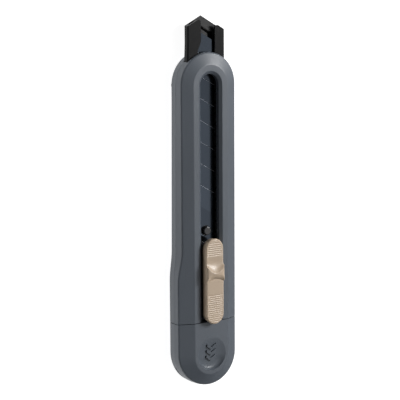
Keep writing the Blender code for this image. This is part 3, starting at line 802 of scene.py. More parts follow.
@dataclass
class HandleShells:
    """The front shell with its slot and the back shell with its rails, ribs and pins."""

    form: HandleForm
    slot_half: float = 5.0 * MM
    edge_out: float = 1.4 * MM
    edge_deep: float = 1.1 * MM
    rim: float = 1.2 * MM
    rim_low_z: float = 9.0 * MM
    window_half: float = 10.5 * MM
    rail_x: float = 6.6 * MM
    rail_width: float = 1.2 * MM
    rail_top_z: float = 5.4 * MM
    rib_top_z: float = 4.4 * MM
    pin_radius: float = 0.7 * MM
    pin_height: float = 1.4 * MM
    pin_rows: int = 3
    finish: MouldedPlastic = field(default_factory=lambda: MouldedPlastic(
        "moulded grey plastic", (0.106, 0.122, 0.144), 0.40))

    def front_section(self) -> list[Point2]:
        """Return the front shell's section on the -X side, from the slot's wall round to the inside."""
        form = self.form
        side = form.half - form.side_draft
        seam_z = form.parting_z + form.seam / 2
        inner = form.half - form.wall
        roof = form.front_z - form.front_wall
        inner_shoulder = form.shoulder_z - form.front_wall * 0.7
        return rounded([
            (-self.slot_half, self.rim_low_z, 0.0),
            (-self.slot_half, form.front_z - self.edge_deep, 0.5 * MM),
            (-self.slot_half - self.edge_out, form.front_z, 0.55 * MM),
            (-form.flat_half, form.front_z, form.crease_radius),
            (-side, form.shoulder_z, form.shoulder_radius),
            (-form.half, seam_z, 0.05 * MM),
            (-inner, seam_z, 0.0),
            (-inner, inner_shoulder, 0.4 * MM),
            (-form.flat_half, roof, 0.4 * MM),
            (-self.slot_half - self.rim, roof, 0.0),
            (-self.slot_half - self.rim, self.rim_low_z, 0.0),
        ], 6)

    def back_section(self) -> list[Point2]:
        """Return the back shell's section on the -X side, from the middle of the back to the inside."""
        form = self.form
        side = form.half - form.side_draft
        seam_z = form.parting_z - form.seam / 2
        inner = form.half - form.wall
        return rounded([
            (0.0, 0.0, 0.0),
            (-side + form.back_chamfer, 0.0, 0.8 * MM),
            (-side, form.back_chamfer, 0.9 * MM),
            (-form.half, seam_z, 0.05 * MM),
            (-inner, seam_z, 0.0),
            (-inner, form.wall, 0.4 * MM),
            (0.0, form.wall, 0.0),
        ], 6)

    def window(self) -> bpy.types.Object:
        """Return the tool that makes room for the sheath at the top of the handle."""
        form = self.form
        low_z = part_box("blade_channel")[0].z + 0.7 * MM
        return block("sheath room", (-self.window_half, form.arch_y, low_z),
                     (self.window_half, form.top_y + 5 * MM, self.rim_low_z))

    def pin_places(self) -> list[Point2]:
        """Return the places of the pins that register the two shells."""
        form = self.form
        low = form.joint_y + form.belly_start + 10 * MM
        high = form.arch_y - 4 * MM
        across = form.half - form.wall - self.pin_radius - 0.15 * MM
        rows = [low + (high - low) * i / (self.pin_rows - 1) for i in range(self.pin_rows)]
        return [(side * across, y) for side in (-1, 1) for y in rows]

    def build_front(self) -> bpy.types.Object:
        """Return the front shell."""
        form = self.form
        low = form.joint_y + form.gap / 2
        shell = swept_u("handle_front", self.front_section(), form.stations(low, form.arch_y), form.arch_y)
        move_points(shell, form.swell)
        work(shell, self.window(), Joining.CUT)
        bosses, holes = [], []
        outer = self.pin_radius + 0.85 * MM
        seam_z = form.parting_z + form.seam / 2
        for x, y in self.pin_places():
            wall_x = math.copysign(form.half - form.wall / 2, x)
            inner_x = x - math.copysign(outer, x)
            bosses.append(block("boss", (min(wall_x, inner_x), y - outer, seam_z),
                                (max(wall_x, inner_x), y + outer, form.front_z - form.front_wall)))
            holes.append(rod("socket", (x, y, seam_z), self.pin_radius + 0.15 * MM, 3.4 * MM, 24))
        work(shell, joined(bosses, "bosses"), Joining.ADD)
        work(shell, joined(holes, "sockets"), Joining.CUT)
        return shell

    def build_back(self) -> bpy.types.Object:
        """Return the back shell."""
        form = self.form
        low = form.joint_y + form.gap / 2
        shell = swept_u("handle_back", self.back_section(), form.stations(low, form.arch_y), form.arch_y)
        move_points(shell, form.swell)
        rail_low, rail_high = form.joint_y + 6 * MM, form.arch_y + 6 * MM
        for side in (-1, 1):
            x = side * self.rail_x
            work(shell, block("rail", (x - self.rail_width / 2, rail_low, form.wall / 2),
                              (x + self.rail_width / 2, rail_high, self.rail_top_z)), Joining.ADD)
        reach = form.half - form.wall / 2
        rib = block("rib", (-reach, rail_low + 5.4 * MM, form.wall / 2),
                    (reach, rail_low + 6.6 * MM, self.rib_top_z))
        pitch = (rail_high - rail_low - 12 * MM) / 4
        work(shell, copies_along(rib, Vector((0, pitch, 0)), 5), Joining.ADD)
        pins = [rod("pin", (x, y, (form.wall / 2 + form.parting_z + self.pin_height) / 2), self.pin_radius,
                    form.parting_z + self.pin_height - form.wall / 2, 24) for x, y in self.pin_places()]
        work(shell, joined(pins, "pins"), Joining.ADD)
        work(shell, self.window(), Joining.CUT)
        return shell

    def build(self) -> None:
        """Build both shells, dress them and let them ride."""
        material = self.finish.build()
        for shell, node in ((self.build_front(), "front_shell"), (self.build_back(), "back_shell")):
            shell.data.materials.clear()
            shell.data.materials.append(material)
            shade(shell, 28.0)
            show(shell, Body.HANDLE, [node])


@dataclass
class EndCap:
    """The pull-off cap with its plug, its dish with a plain raised mark and its snapping slit."""

    form: HandleForm
    plug_length: float = 5.0 * MM
    plug_wall: float = 1.2 * MM
    dish_radius: float = 7.9 * MM
    dish_up: float = 0.5 * MM
    dish_deep: float = 2.05 * MM
    dish_floor: float = 1.4 * MM
    mark_half: float = 2.7 * MM
    mark_drop: float = 1.9 * MM
    mark_stroke: float = 1.4 * MM
    mark_pitch: float = 2.75 * MM
    mark_count: int = 3
    mark_relief: float = 0.62 * MM
    slit_width: float = 1.0 * MM
    slit_reach: float = 9.0 * MM
    slit_length: float = 20.0 * MM
    slit_z: float = 3.9 * MM
    finish: MouldedPlastic = field(default_factory=lambda: MouldedPlastic(
        "moulded grey cap plastic", (0.106, 0.122, 0.144), 0.40))

    @property
    def dish_y(self) -> float:
        """The dish's centre along the knife."""
        return self.form.round_y + self.dish_up

    def outer_section(self, inset: float) -> list[Point2]:
        """Return the cap's section on the -X side, drawn in by an inset.

        Args:
            inset: How far inside the outer face it lies.

        Returns:
            The section's points.
        """
        form = self.form
        side = form.half - form.side_draft - inset
        top = form.front_z - inset
        low = inset
        if inset:
            shoulder = form.shoulder_z - inset
            return rounded([(0.0, low, 0.0), (-side, low, 0.3 * MM), (-side, shoulder, 0.3 * MM),
                            (-form.flat_half, top - self.dish_floor, 0.3 * MM),
                            (0.0, top - self.dish_floor, 0.0)], 3)
        return rounded([
            (0.0, low, 0.0),
            (-side + form.back_chamfer, low, 0.8 * MM),
            (-side, form.back_chamfer, 0.9 * MM),
            (-form.half, form.parting_z, 0.5 * MM),
            (-side, form.shoulder_z, form.shoulder_radius),
            (-form.flat_half, top, form.crease_radius),
            (0.0, top, 0.0),
        ], 6)

    def cap_solid(self, name: str, inset: float, end_y: float) -> bpy.types.Object:
        """Return the round-ended solid of the cap, drawn in by an inset.

        Args:
            name: The object's name.
            inset: How far inside the outer face it lies.
            end_y: Where it ends towards the shells.

        Returns:
            The solid.
        """
        form = self.form
        run = [end_y + (form.round_y - end_y) * i / 4 for i in range(5)]
        made = swept_u(name, self.outer_section(inset), run, form.round_y)
        move_points(made, form.swell)
        return made

    def dish_depth(self, x: float, y: float) -> float:
        """Return the dish's depth below the front face.

        Args:
            x: The place across, from the dish's centre.
            y: The place along, from the dish's centre.

        Returns:
            The depth, 0 at the rim.
        """
        share = min(math.hypot(x, y) / self.dish_radius, 1.0)
        down = 0.5 - 0.5 * y / self.dish_radius
        slope = self.dish_deep * (0.16 + 0.84 * down)
        power = 2.2 + 7.0 * smooth_step(down, 0.55, 1.0)
        return slope * (1.0 - share ** power)

    def dish_tool(self) -> bpy.types.Object:
        """Return the tool that hollows the dish: a disc of rings pushed down to the dish's floor."""
        rings = 26
        start_clean()
        bpy.ops.mesh.primitive_circle_add(vertices=96, radius=self.dish_radius, fill_type="NGON",
                                          location=(0, self.dish_y, self.form.front_z))
        tool = place_in_mesh(bpy.context.object)
        tool.name = "dish tool"
        edit_all(tool)
        bpy.ops.mesh.extrude_region_move(TRANSFORM_OT_translate={"value": (0, 0, 3 * MM)})
        bpy.ops.mesh.select_all(action="DESELECT")
        bpy.ops.mesh.select_mode(type="FACE")
        leave_edit()
        for face in tool.data.polygons:
            face.select = abs(face.center.z - self.form.front_z) < 0.01 * MM
        bpy.ops.object.mode_set(mode="EDIT")
        for _ in range(rings):
            bpy.ops.mesh.inset(thickness=self.dish_radius / (rings + 0.6), depth=0)
        leave_edit()
        rim = self.dish_radius * 0.999
        for vertex in tool.data.vertices:
            x, y = vertex.co.x, vertex.co.y - self.dish_y
            if abs(vertex.co.z - self.form.front_z) < 0.01 * MM and math.hypot(x, y) < rim:
                vertex.co.z -= self.dish_depth(x, y)
        edit_all(tool)
        bpy.ops.mesh.normals_make_consistent(inside=False)
        leave_edit()
        return tool

    def chevron(self, y: float) -> bpy.types.Object:
        """Return one raised chevron that follows the dish's floor.

        Args:
            y: Its middle along the knife, from the dish's centre.

        Returns:
            The solid.
        """
        half, drop, stroke = self.mark_half, self.mark_drop / 2, self.mark_stroke
        outline = [(-half, y + drop, 0.25 * MM), (0.0, y - drop, 0.3 * MM), (half, y + drop, 0.25 * MM),
                   (half, y + drop + stroke, 0.25 * MM), (0.0, y - drop + stroke, 0.1 * MM),
                   (-half, y + drop + stroke, 0.25 * MM)]
        plan = rounded(outline, 4)
        top = self.form.front_z
        made = plate("mark", [(x, self.dish_y + py) for x, py in plan], top - 1, top)
        for vertex in made.data.vertices:
            floor = top - self.dish_depth(vertex.co.x, vertex.co.y - self.dish_y)
            vertex.co.z = floor + (self.mark_relief if vertex.co.z > top - 0.5 else -0.6 * MM)
        return made

    def build_cap(self) -> bpy.types.Object:
        """Return the cap as one closed solid."""
        form = self.form
        cap = self.cap_solid("end_cap_moulding", 0.0, form.joint_y - form.gap / 2)
        work(cap, self.cap_solid("hollow", form.wall, form.joint_y + MM), Joining.CUT)
        self.add_plug(cap)
        work(cap, self.dish_tool(), Joining.CUT)
        marks = [self.chevron(self.mark_pitch * ((self.mark_count - 1) / 2 - i))
                 for i in range(self.mark_count)]
        work(cap, joined(marks, "marks"), Joining.ADD)
        left = -form.half - form.belly_out
        work(cap, block("slit", (left - MM, form.bottom_y - MM, self.slit_z - self.slit_width / 2),
                        (left + self.slit_length, form.bottom_y + self.slit_reach,
                         self.slit_z + self.slit_width / 2)), Joining.CUT)
        return cap

    def add_plug(self, cap: bpy.types.Object) -> None:
        """Add the tube that plugs into the shells, open to the front for the slot.

        Args:
            cap: The cap that gets it.
        """
        form = self.form
        lead = form.joint_y - self.plug_length / 2
        end = form.joint_y + self.plug_length
        seat = form.wall + form.gap
        outer_x = form.half - seat
        belly = form.belly_out
        roof = form.shoulder_z - 1.6 * MM
        tube = block("plug", (-outer_x - belly, lead, seat), (outer_x, end, roof))
        inner = seat + self.plug_wall
        work(tube, block("bore", (-outer_x - belly + self.plug_wall, lead - MM, inner),
                         (outer_x - self.plug_wall, end + MM, form.front_z)), Joining.CUT)
        work(cap, tube, Joining.ADD)

    def build(self) -> None:
        """Build the cap, dress it and let it ride."""
        cap = self.build_cap()
        cap.data.materials.clear()
        cap.data.materials.append(self.finish.build())
        shade(cap, 28.0)
        show(cap, Body.CAP, ["end_cap"])


# ---------------------------------------------------------------------------------------------------
# Thumb slide
# ---------------------------------------------------------------------------------------------------


@dataclass
class ThumbSlide:
    """The beige thumb slide: a round-ended button with ribs, a scoop and a raised thumb stop."""

    half: float = 4.85 * MM
    low_y: float = field(default_factory=lambda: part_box("thumb_slide")[0].y)
    high_y: float = field(default_factory=lambda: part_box("thumb_slide")[1].y)
    under_z: float = 11.6 * MM
    top_z: float = 14.85 * MM
    low_rise: float = 0.3 * MM
    stop_height: float = 1.7 * MM
    scoop_dip: float = 0.2
    rib_pitch: float = 0.94 * MM
    rib_deep: float = 0.12 * MM
    rib_margin: float = 0.42 * MM
    edge: float = 0.72 * MM
    skirt_in: float = 0.3 * MM
    finish: MouldedPlastic = field(default_factory=lambda: MouldedPlastic(
        "moulded beige plastic", (0.555, 0.435, 0.322), 0.34, grain=0.1 * MM, depth=0.006 * MM,
        strength=0.35, mottle=0.03))

    def ribs(self, run: float) -> float:
        """Return how much rib there is at a place, 0 to 1, by its distance from the low end.

        Args:
            run: The distance from the slide's low end.

        Returns:
            1 inside a ribbed stretch and 0 outside.
        """
        low = smooth_step(run, 1.0 * MM, 1.5 * MM) * (1 - smooth_step(run, 14.1 * MM, 14.5 * MM))
        high = smooth_step(run, 32.0 * MM, 32.4 * MM) * (1 - smooth_step(run, 38.7 * MM, 39.2 * MM))
        return low + high

    def stop(self, x: float, run: float) -> float:
        """Return the thumb stop's height above the button, 0 to 1.

        Args:
            x: The place across.
            run: The distance from the slide's low end.

        Returns:
            The share of the stop's full height.
        """
        wide = (x / self.half) ** 2
        lip = (24.2 + 3.4 * wide) * MM
        foot = (21.4 - 1.5 * wide) * MM
        low, end = 29.2 * MM, 32.0 * MM
        if run <= foot or run >= end:
            return 0.0
        climb = (lip - foot) * (1.0 - wide) + 0.8 * MM * wide
        rise = 1.0 - (1.0 - min((run - foot) / climb, 1.0)) ** 2
        if run <= lip:
            return rise
        dip = -self.scoop_dip * (1.0 - wide)
        if run >= low:
            return dip * (1.0 - smooth_step(run, low, end))
        return dip + (rise - dip) * ((low - run) / (low - lip)) ** 1.9

    def height(self, x: float, y: float, inside: float) -> float:
        """Return the top's height.

        Args:
            x: The place across.
            y: The place along.
            inside: The distance to the button's outline.

        Returns:
            The height.
        """
        run = y - self.low_y
        rise = self.low_rise * (1.0 - smooth_step(run, 20.0 * MM, 24.0 * MM))
        crown = 1.0 - 0.42 * (x / self.half) ** 2
        z = self.top_z + rise + self.stop_height * crown * self.stop(x, run)
        margin = smooth_step(inside, self.rib_margin, self.rib_margin + 0.55 * MM)
        wave = 0.5 - 0.5 * math.cos(math.tau * run / self.rib_pitch)
        z -= self.rib_deep * wave * self.ribs(run) * margin
        if inside < self.edge:
            z -= self.edge - math.sqrt(max(self.edge ** 2 - (self.edge - inside) ** 2, 0.0))
        return z

    def rows(self) -> list[float]:
        """Return the places along the slide of the top's rows of points."""
        end_steps, step = 56, 0.105 * MM
        low_centre, high_centre = self.low_y + self.half, self.high_y - self.half
        low_end = [low_centre - self.half * math.cos(math.pi / 2 * i / end_steps) for i in range(end_steps)]
        count = round((high_centre - low_centre) / step)
        middle = [low_centre + (high_centre - low_centre) * i / count for i in range(count + 1)]
        high_end = [high_centre + self.half * math.sin(math.pi / 2 * i / end_steps)
                    for i in range(1, end_steps + 1)]
        return low_end + middle + high_end

    def build_button(self) -> bpy.types.Object:
        """Return the button: a fine grid shaped to its plan and top, with its skirt and underside."""
        columns, rows = 44, self.rows()
        start_clean()
        bpy.ops.mesh.primitive_grid_add(x_subdivisions=columns, y_subdivisions=len(rows) - 1, size=2)
        button = bpy.context.object
        button.name = "thumb_button"
        width = columns + 1
        low_centre, high_centre = self.low_y + self.half, self.high_y - self.half
        for index, vertex in enumerate(button.data.vertices):
            y = rows[index // width]
            across = math.sin(math.pi / 2 * (2 * (index % width) / columns - 1))
            beyond = max(low_centre - y, y - high_centre, 0.0)
            half = math.sqrt(max(self.half ** 2 - beyond ** 2, 0.0))
            x = across * half
            inside = self.half - math.hypot(x, beyond)
            vertex.co = (x, y, self.height(x, y, max(inside, 0.0)))
        edit_all(button)
        bpy.ops.mesh.remove_doubles(threshold=0.001 * MM)
        bpy.ops.mesh.normals_make_consistent(inside=False)
        bpy.ops.mesh.select_all(action="DESELECT")
        bpy.ops.mesh.select_mode(type="EDGE")
        bpy.ops.mesh.select_non_manifold()
        bpy.ops.mesh.extrude_region_move(TRANSFORM_OT_translate={"value": (0, 0, -MM)})
        leave_edit()
        skirt = [v for v in button.data.vertices if v.select]
        middle_y = (self.low_y + self.high_y) / 2
        shares = (1 - self.skirt_in / self.half, 1 - 2 * self.skirt_in / (self.high_y - self.low_y))
        for vertex in skirt:
            vertex.co = (vertex.co.x * shares[0], middle_y + (vertex.co.y - middle_y) * shares[1],
                         self.under_z)
        bpy.ops.object.mode_set(mode="EDIT")
        bpy.ops.mesh.edge_face_add()
        bpy.ops.mesh.select_mode(type="VERT")
        bpy.ops.mesh.select_all(action="SELECT")
        bpy.ops.mesh.normals_make_consistent(inside=False)
        leave_edit()
        return button

    def build(self) -> None:
        """Build the slide with its hollow, its cap clearance and its stem, dress it and let it ride."""
        slide = self.build_button()
        wall, roof = 1.5 * MM, 1.8 * MM
        hollow = rounded([(-self.half + wall, self.low_y + 2.4 * MM, 2.4 * MM),
                          (self.half - wall, self.low_y + 2.4 * MM, 2.4 * MM),
                          (self.half - wall, self.high_y - 2.4 * MM, 2.4 * MM),
                          (-self.half + wall, self.high_y - 2.4 * MM, 2.4 * MM)], 8)
        work(slide, plate("hollow", hollow, self.under_z - MM, self.top_z - roof), Joining.CUT)
        stem_low, stem_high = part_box("thumb_slide")[0].z, self.top_z - roof / 2
        middle = sum(corner.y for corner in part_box("lock_spring")) / 2
        work(slide, block("stem", (-2.0 * MM, middle - 5.0 * MM, stem_low),
                          (2.0 * MM, middle + 5.0 * MM, stem_high)), Joining.ADD)
        front_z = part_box("front_shell")[1].z
        joint_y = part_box("front_shell")[0].y
        work(slide, block("cap room", (-2 * self.half, self.low_y - MM, self.under_z - MM),
                          (2 * self.half, joint_y + 0.95 * MM, front_z + 0.3 * MM)), Joining.CUT)
        slide.data.materials.clear()
        slide.data.materials.append(self.finish.build())
        shade(slide, 40.0)
        show(slide, Body.SLIDE, ["thumb_slide"])


# ---------------------------------------------------------------------------------------------------
# Sheath, blade, carrier
# ---------------------------------------------------------------------------------------------------


@dataclass
class Sheath:
    """The folded black sheath with its slanted head, wide left lip, notched right lip and gutter."""

    half: float = 10.0 * MM
    wall: float = 0.7 * MM
    floor: float = 0.6 * MM
    low_z: float = 5.7 * MM
    high_z: float = 8.7 * MM
    left_lip: float = -4.7 * MM
    right_lip: float = 4.6 * MM
    head_lip: float = -2.8 * MM
    slant: float = math.radians(30.0)
    left_slant: float = math.radians(27.3)
    peak_x: float = -1.35 * MM
    lip_corner: float = 1.5 * MM
    flare_out: float = 0.28 * MM
    recess: float = 0.4 * MM
    notch_count: int = 18
    notch_pitch: float = 5.0 * MM
    first_notch_y: float = -25.6 * MM
    finish: MouldedPlastic = field(default_factory=lambda: MouldedPlastic(
        "satin black sheath", (0.0085, 0.0085, 0.009), 0.33, grain=0.12 * MM, depth=0.008 * MM, strength=0.4,
        mottle=0.08, gloss=0.12))
    # Near-black painted shade for the floors of the blind slot and hole in the head, which stand for
    # through-holes whose insides lie in shade.
    pocket_painted_shade: MouldedPlastic = field(default_factory=lambda: MouldedPlastic(
        "matt black backing", (0.0015, 0.0015, 0.0016), 0.8, gloss=0.05))
    # Light grey on the left lip's rounded top edge: a painted highlight along the edge, which also stands for
    # rubbed wear.
    rubbed_and_sheen: MouldedPlastic = field(default_factory=lambda: MouldedPlastic(
        "rubbed black edge", (0.24, 0.24, 0.24), 0.30, mottle=0.2))
    # A lighter black painted on the head's plate faces: painted sheen, as the plate catches more light than the
    # lips of the same sheath.
    plate_painted_sheen: MouldedPlastic = field(default_factory=lambda: MouldedPlastic(
        "black plate with painted sheen", (0.024, 0.024, 0.025), 0.40, mottle=0.08, gloss=0.25))

    def section(self) -> list[Point2]:
        """Return the folded section, with the left lip as wide as at the head."""
        plate_top = self.low_z + self.floor
        lip_low = self.high_z - self.wall
        inner = self.half - self.wall
        return rounded([
            (-self.half, self.low_z, 0.5 * MM), (-self.half, self.high_z, 0.75 * MM),
            (self.head_lip, self.high_z, 0.15 * MM), (self.head_lip, lip_low, 0.15 * MM),
            (-inner, lip_low, 0.2 * MM), (-inner, plate_top, 0.2 * MM),
            (inner, plate_top, 0.2 * MM), (inner, lip_low, 0.2 * MM),
            (self.right_lip, lip_low, 0.15 * MM), (self.right_lip, self.high_z, 0.15 * MM),
            (self.half, self.high_z, 0.6 * MM), (self.half, self.low_z, 0.5 * MM),
        ], 4)

    def build_body(self, low_y: float, top_y: float, peak_y: float) -> bpy.types.Object:
        """Return the folded body, extruded along the knife and slanted at the head.

        Args:
            low_y: Its low end.
            top_y: The top of the handle.
            peak_y: The head's peak.

        Returns:
            The solid.
        """
        made = outline_face("sheath", [(x, low_y, z) for x, z in self.section()])
        edit_all(made)
        stations = [low_y, top_y - 6 * MM] + [top_y + (i - 5) * MM for i in range(16)] + [peak_y + MM]
        for near, far in zip(stations, stations[1:]):
            bpy.ops.mesh.extrude_region_move(TRANSFORM_OT_translate={"value": (0, far - near, 0)})
        bpy.ops.mesh.select_all(action="SELECT")
        bpy.ops.mesh.normals_make_consistent(inside=False)
        leave_edit()
        move_points(made, lambda p: self.flared(p, top_y))
        peak = (self.peak_x, peak_y, 0)
        for normal in ((math.sin(self.slant), math.cos(self.slant), 0),
                       (-math.sin(self.left_slant), math.cos(self.left_slant), 0)):
            edit_all(made)
            bpy.ops.mesh.bisect(plane_co=peak, plane_no=normal, use_fill=True, clear_outer=True)
            leave_edit()
        return made

    def flared(self, place: Vector, top_y: float) -> Vector:
        """Flare the -X wall out a little inside the handle.

        Args:
            place: A point of the straight sheath.
            top_y: The top of the handle.

        Returns:
            Where the point belongs.
        """
        if place.x > -7 * MM:
            return place
        share = smooth_step(place.y, top_y - 4 * MM, top_y + 5 * MM)
        return place - Vector((self.flare_out * (1.0 - share), 0, 0))

    def lip_tool(self, low_y: float, top_y: float, peak_y: float) -> bpy.types.Object:
        """Return the tool that trims the left lip: an S from its head width to its width in the slot.

        Args:
            low_y: The sheath's low end.
            top_y: The top of the handle.
            peak_y: The head's peak; not used.

        Returns:
            The tool.
        """
        steps = 14
        wide_y, narrow_y = top_y + 5.6 * MM, top_y - 0.6 * MM
        curve = []
        for i in range(steps + 1):
            y = wide_y + (narrow_y - wide_y) * i / steps
            share = smooth_step(-y, -wide_y, -narrow_y)
            curve.append((self.head_lip + (self.left_lip - self.head_lip) * share, y))
        outline = [(0.0, wide_y), *curve, (self.left_lip, low_y - MM), (0.0, low_y - MM)]
        del peak_y
        return plate("lip trim", outline, self.low_z + self.floor + 0.8 * MM, self.high_z + MM)

    def head_tool(self, peak_y: float) -> bpy.types.Object:
        """Return the tool that rounds the left lip's front corner.

        Args:
            peak_y: The head's peak.

        Returns:
            The tool.
        """
        fall = math.tan(self.left_slant)
        top = peak_y - (self.peak_x - self.head_lip) * fall
        far = 12 * MM
        corner = rounded([(self.head_lip - far, top - far * fall, 0), (self.head_lip, top, self.lip_corner),
                          (self.head_lip, top - far, 0)], 10)
        arc = corner[1:-1]
        outline = [*arc, (self.head_lip + 1.5 * MM, arc[-1][1]), (self.head_lip + 1.5 * MM, top + 2 * MM),
                   (arc[0][0], top + 2 * MM)]
        return plate("lip corner", outline, self.high_z - self.wall - 0.3 * MM, self.high_z + MM)

    def build(self) -> None:
        """Build the sheath, dress it and let it ride."""
        low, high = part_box("blade_channel")
        top_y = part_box("front_shell")[1].y
        peak_y = high.y
        sheath = self.build_body(low.y, top_y, peak_y)
        work(sheath, self.lip_tool(low.y, top_y, peak_y), Joining.CUT)
        work(sheath, self.head_tool(peak_y), Joining.CUT)
        self.add_gutter(sheath, low, top_y)
        self.cut_notches(sheath)
        self.detail_head(sheath, peak_y)
        ease_edges(sheath, 0.22 * MM, 3, 40.0)
        sheath.data.materials.clear()
        sheath.data.materials.append(self.finish.build())
        sheath.data.materials.append(self.pocket_painted_shade.build())
        sheath.data.materials.append(self.rubbed_and_sheen.build())
        sheath.data.materials.append(self.plate_painted_sheen.build())
        floor_z = self.low_z + self.floor - self.recess
        for face in sheath.data.polygons:
            # Index 1 paints shade on the slot's and hole's floors: near black.
            if abs(face.center.z - floor_z) < 0.05 * MM and face.normal.z > 0.9 and face.center.y > top_y:
                face.material_index = 1
            # Index 2 paints a highlight on the left lip's rounded top edge, in light grey that also stands for
            # rubbed wear.
            edge = 0.2 < face.normal.z < 0.97 and face.center.z > self.high_z - 0.25 * MM
            if edge and face.normal.y > 0.1 and face.center.x < self.head_lip + 0.3 * MM:
                face.material_index = 2
            # Index 3 paints sheen on the head's plate faces with the lighter black.
            on_plate = floor_z + 0.1 * MM < face.center.z < self.high_z - 0.4 * MM
            if on_plate and face.normal.z > 0.9 and face.center.y > top_y:
                face.material_index = 3
        shade(sheath, 35.0)
        show(sheath, Body.HANDLE, ["blade_channel"])

    def add_gutter(self, sheath: bpy.types.Object, low: Vector, top_y: float) -> None:
        """Add the gutter that the carrier's tongue runs in.

        Args:
            sheath: The sheath.
            low: The lowest corner of its box.
            top_y: The top of the handle.
        """
        half = 4.2 * MM
        end = top_y - 5.8 * MM
        work(sheath, block("gutter", (-half - self.floor, low.y, low.z),
                           (half + self.floor, end + self.floor, self.low_z + self.floor / 2)), Joining.ADD)
        work(sheath, block("gutter room", (-half, low.y - MM, low.z + self.floor),
                           (half, end, self.low_z + 2 * self.floor)), Joining.CUT)

    def cut_notches(self, sheath: bpy.types.Object) -> None:
        """Cut the row of lock notches in the right lip.

        Args:
            sheath: The sheath.
        """
        edge, deep, wide = self.right_lip, 0.8 * MM, 1.0 * MM
        y = self.first_notch_y
        notch = plate("notch", [(edge - MM / 2, y - wide), (edge + deep, y - wide / 4),
                                (edge + deep, y + wide / 4), (edge - MM / 2, y + wide)],
                      self.high_z - self.wall - MM / 2, self.high_z + MM)
        row = copies_along(notch, Vector((0, self.notch_pitch, 0)), self.notch_count)
        work(sheath, row, Joining.CUT)

    def slanted_block(self, name: str, drop: float, thick: float, x_low: float, x_high: float,
                      z_low: float, z_high: float, peak_y: float) -> bpy.types.Object:
        """Return a bar across the head, parallel to its slanted end.

        Args:
            name: The object's name.
            drop: How far its upper edge lies below the slanted end, along the knife.
            thick: Its width along the knife.
            x_low: Its end on the -X side.
            x_high: Its end on the +X side.
            z_low: Its lower height.
            z_high: Its upper height.
            peak_y: The head's peak.

        Returns:
            The bar.
        """
        fall = math.tan(self.slant)

        def edge(x: float) -> float:
            """Return the slanted end's place along the knife."""
            return peak_y - (x - self.peak_x) * fall - drop

        return plate(name, [(x_low, edge(x_low)), (x_high, edge(x_high)), (x_high, edge(x_high) - thick),
                            (x_low, edge(x_low) - thick)], z_low, z_high)

    def detail_head(self, sheath: bpy.types.Object, peak_y: float) -> None:
        """Give the head its raised band, slot, hole and the right lip's corner.

        Args:
            sheath: The sheath.
            peak_y: The head's peak.
        """
        top = self.low_z + self.floor
        work(sheath, self.slanted_block("band", 3.0 * MM, 1.7 * MM, -3.0 * MM, 4.4 * MM, top - 0.2 * MM,
                                        top + 0.35 * MM, peak_y), Joining.ADD)
        work(sheath, self.slanted_block("slot", 5.0 * MM, 1.1 * MM, -2.6 * MM, 4.0 * MM, top - self.recess,
                                        top + MM, peak_y), Joining.CUT)
        work(sheath, rod("hole", (3.5 * MM, peak_y - 8.8 * MM, top - self.recess + MM), 1.5 * MM, 2 * MM, 40),
             Joining.CUT)
        lip = self.right_lip
        corner = [(lip - MM, peak_y - 4.5 * MM), (lip + 1.8 * MM, peak_y - 4.5 * MM),
                  (lip + 12 * MM, peak_y + 4 * MM), (lip - MM, peak_y + 4 * MM)]
        work(sheath, plate("right corner", corner, self.high_z - self.wall - 0.2 * MM, self.high_z + MM),
             Joining.CUT)


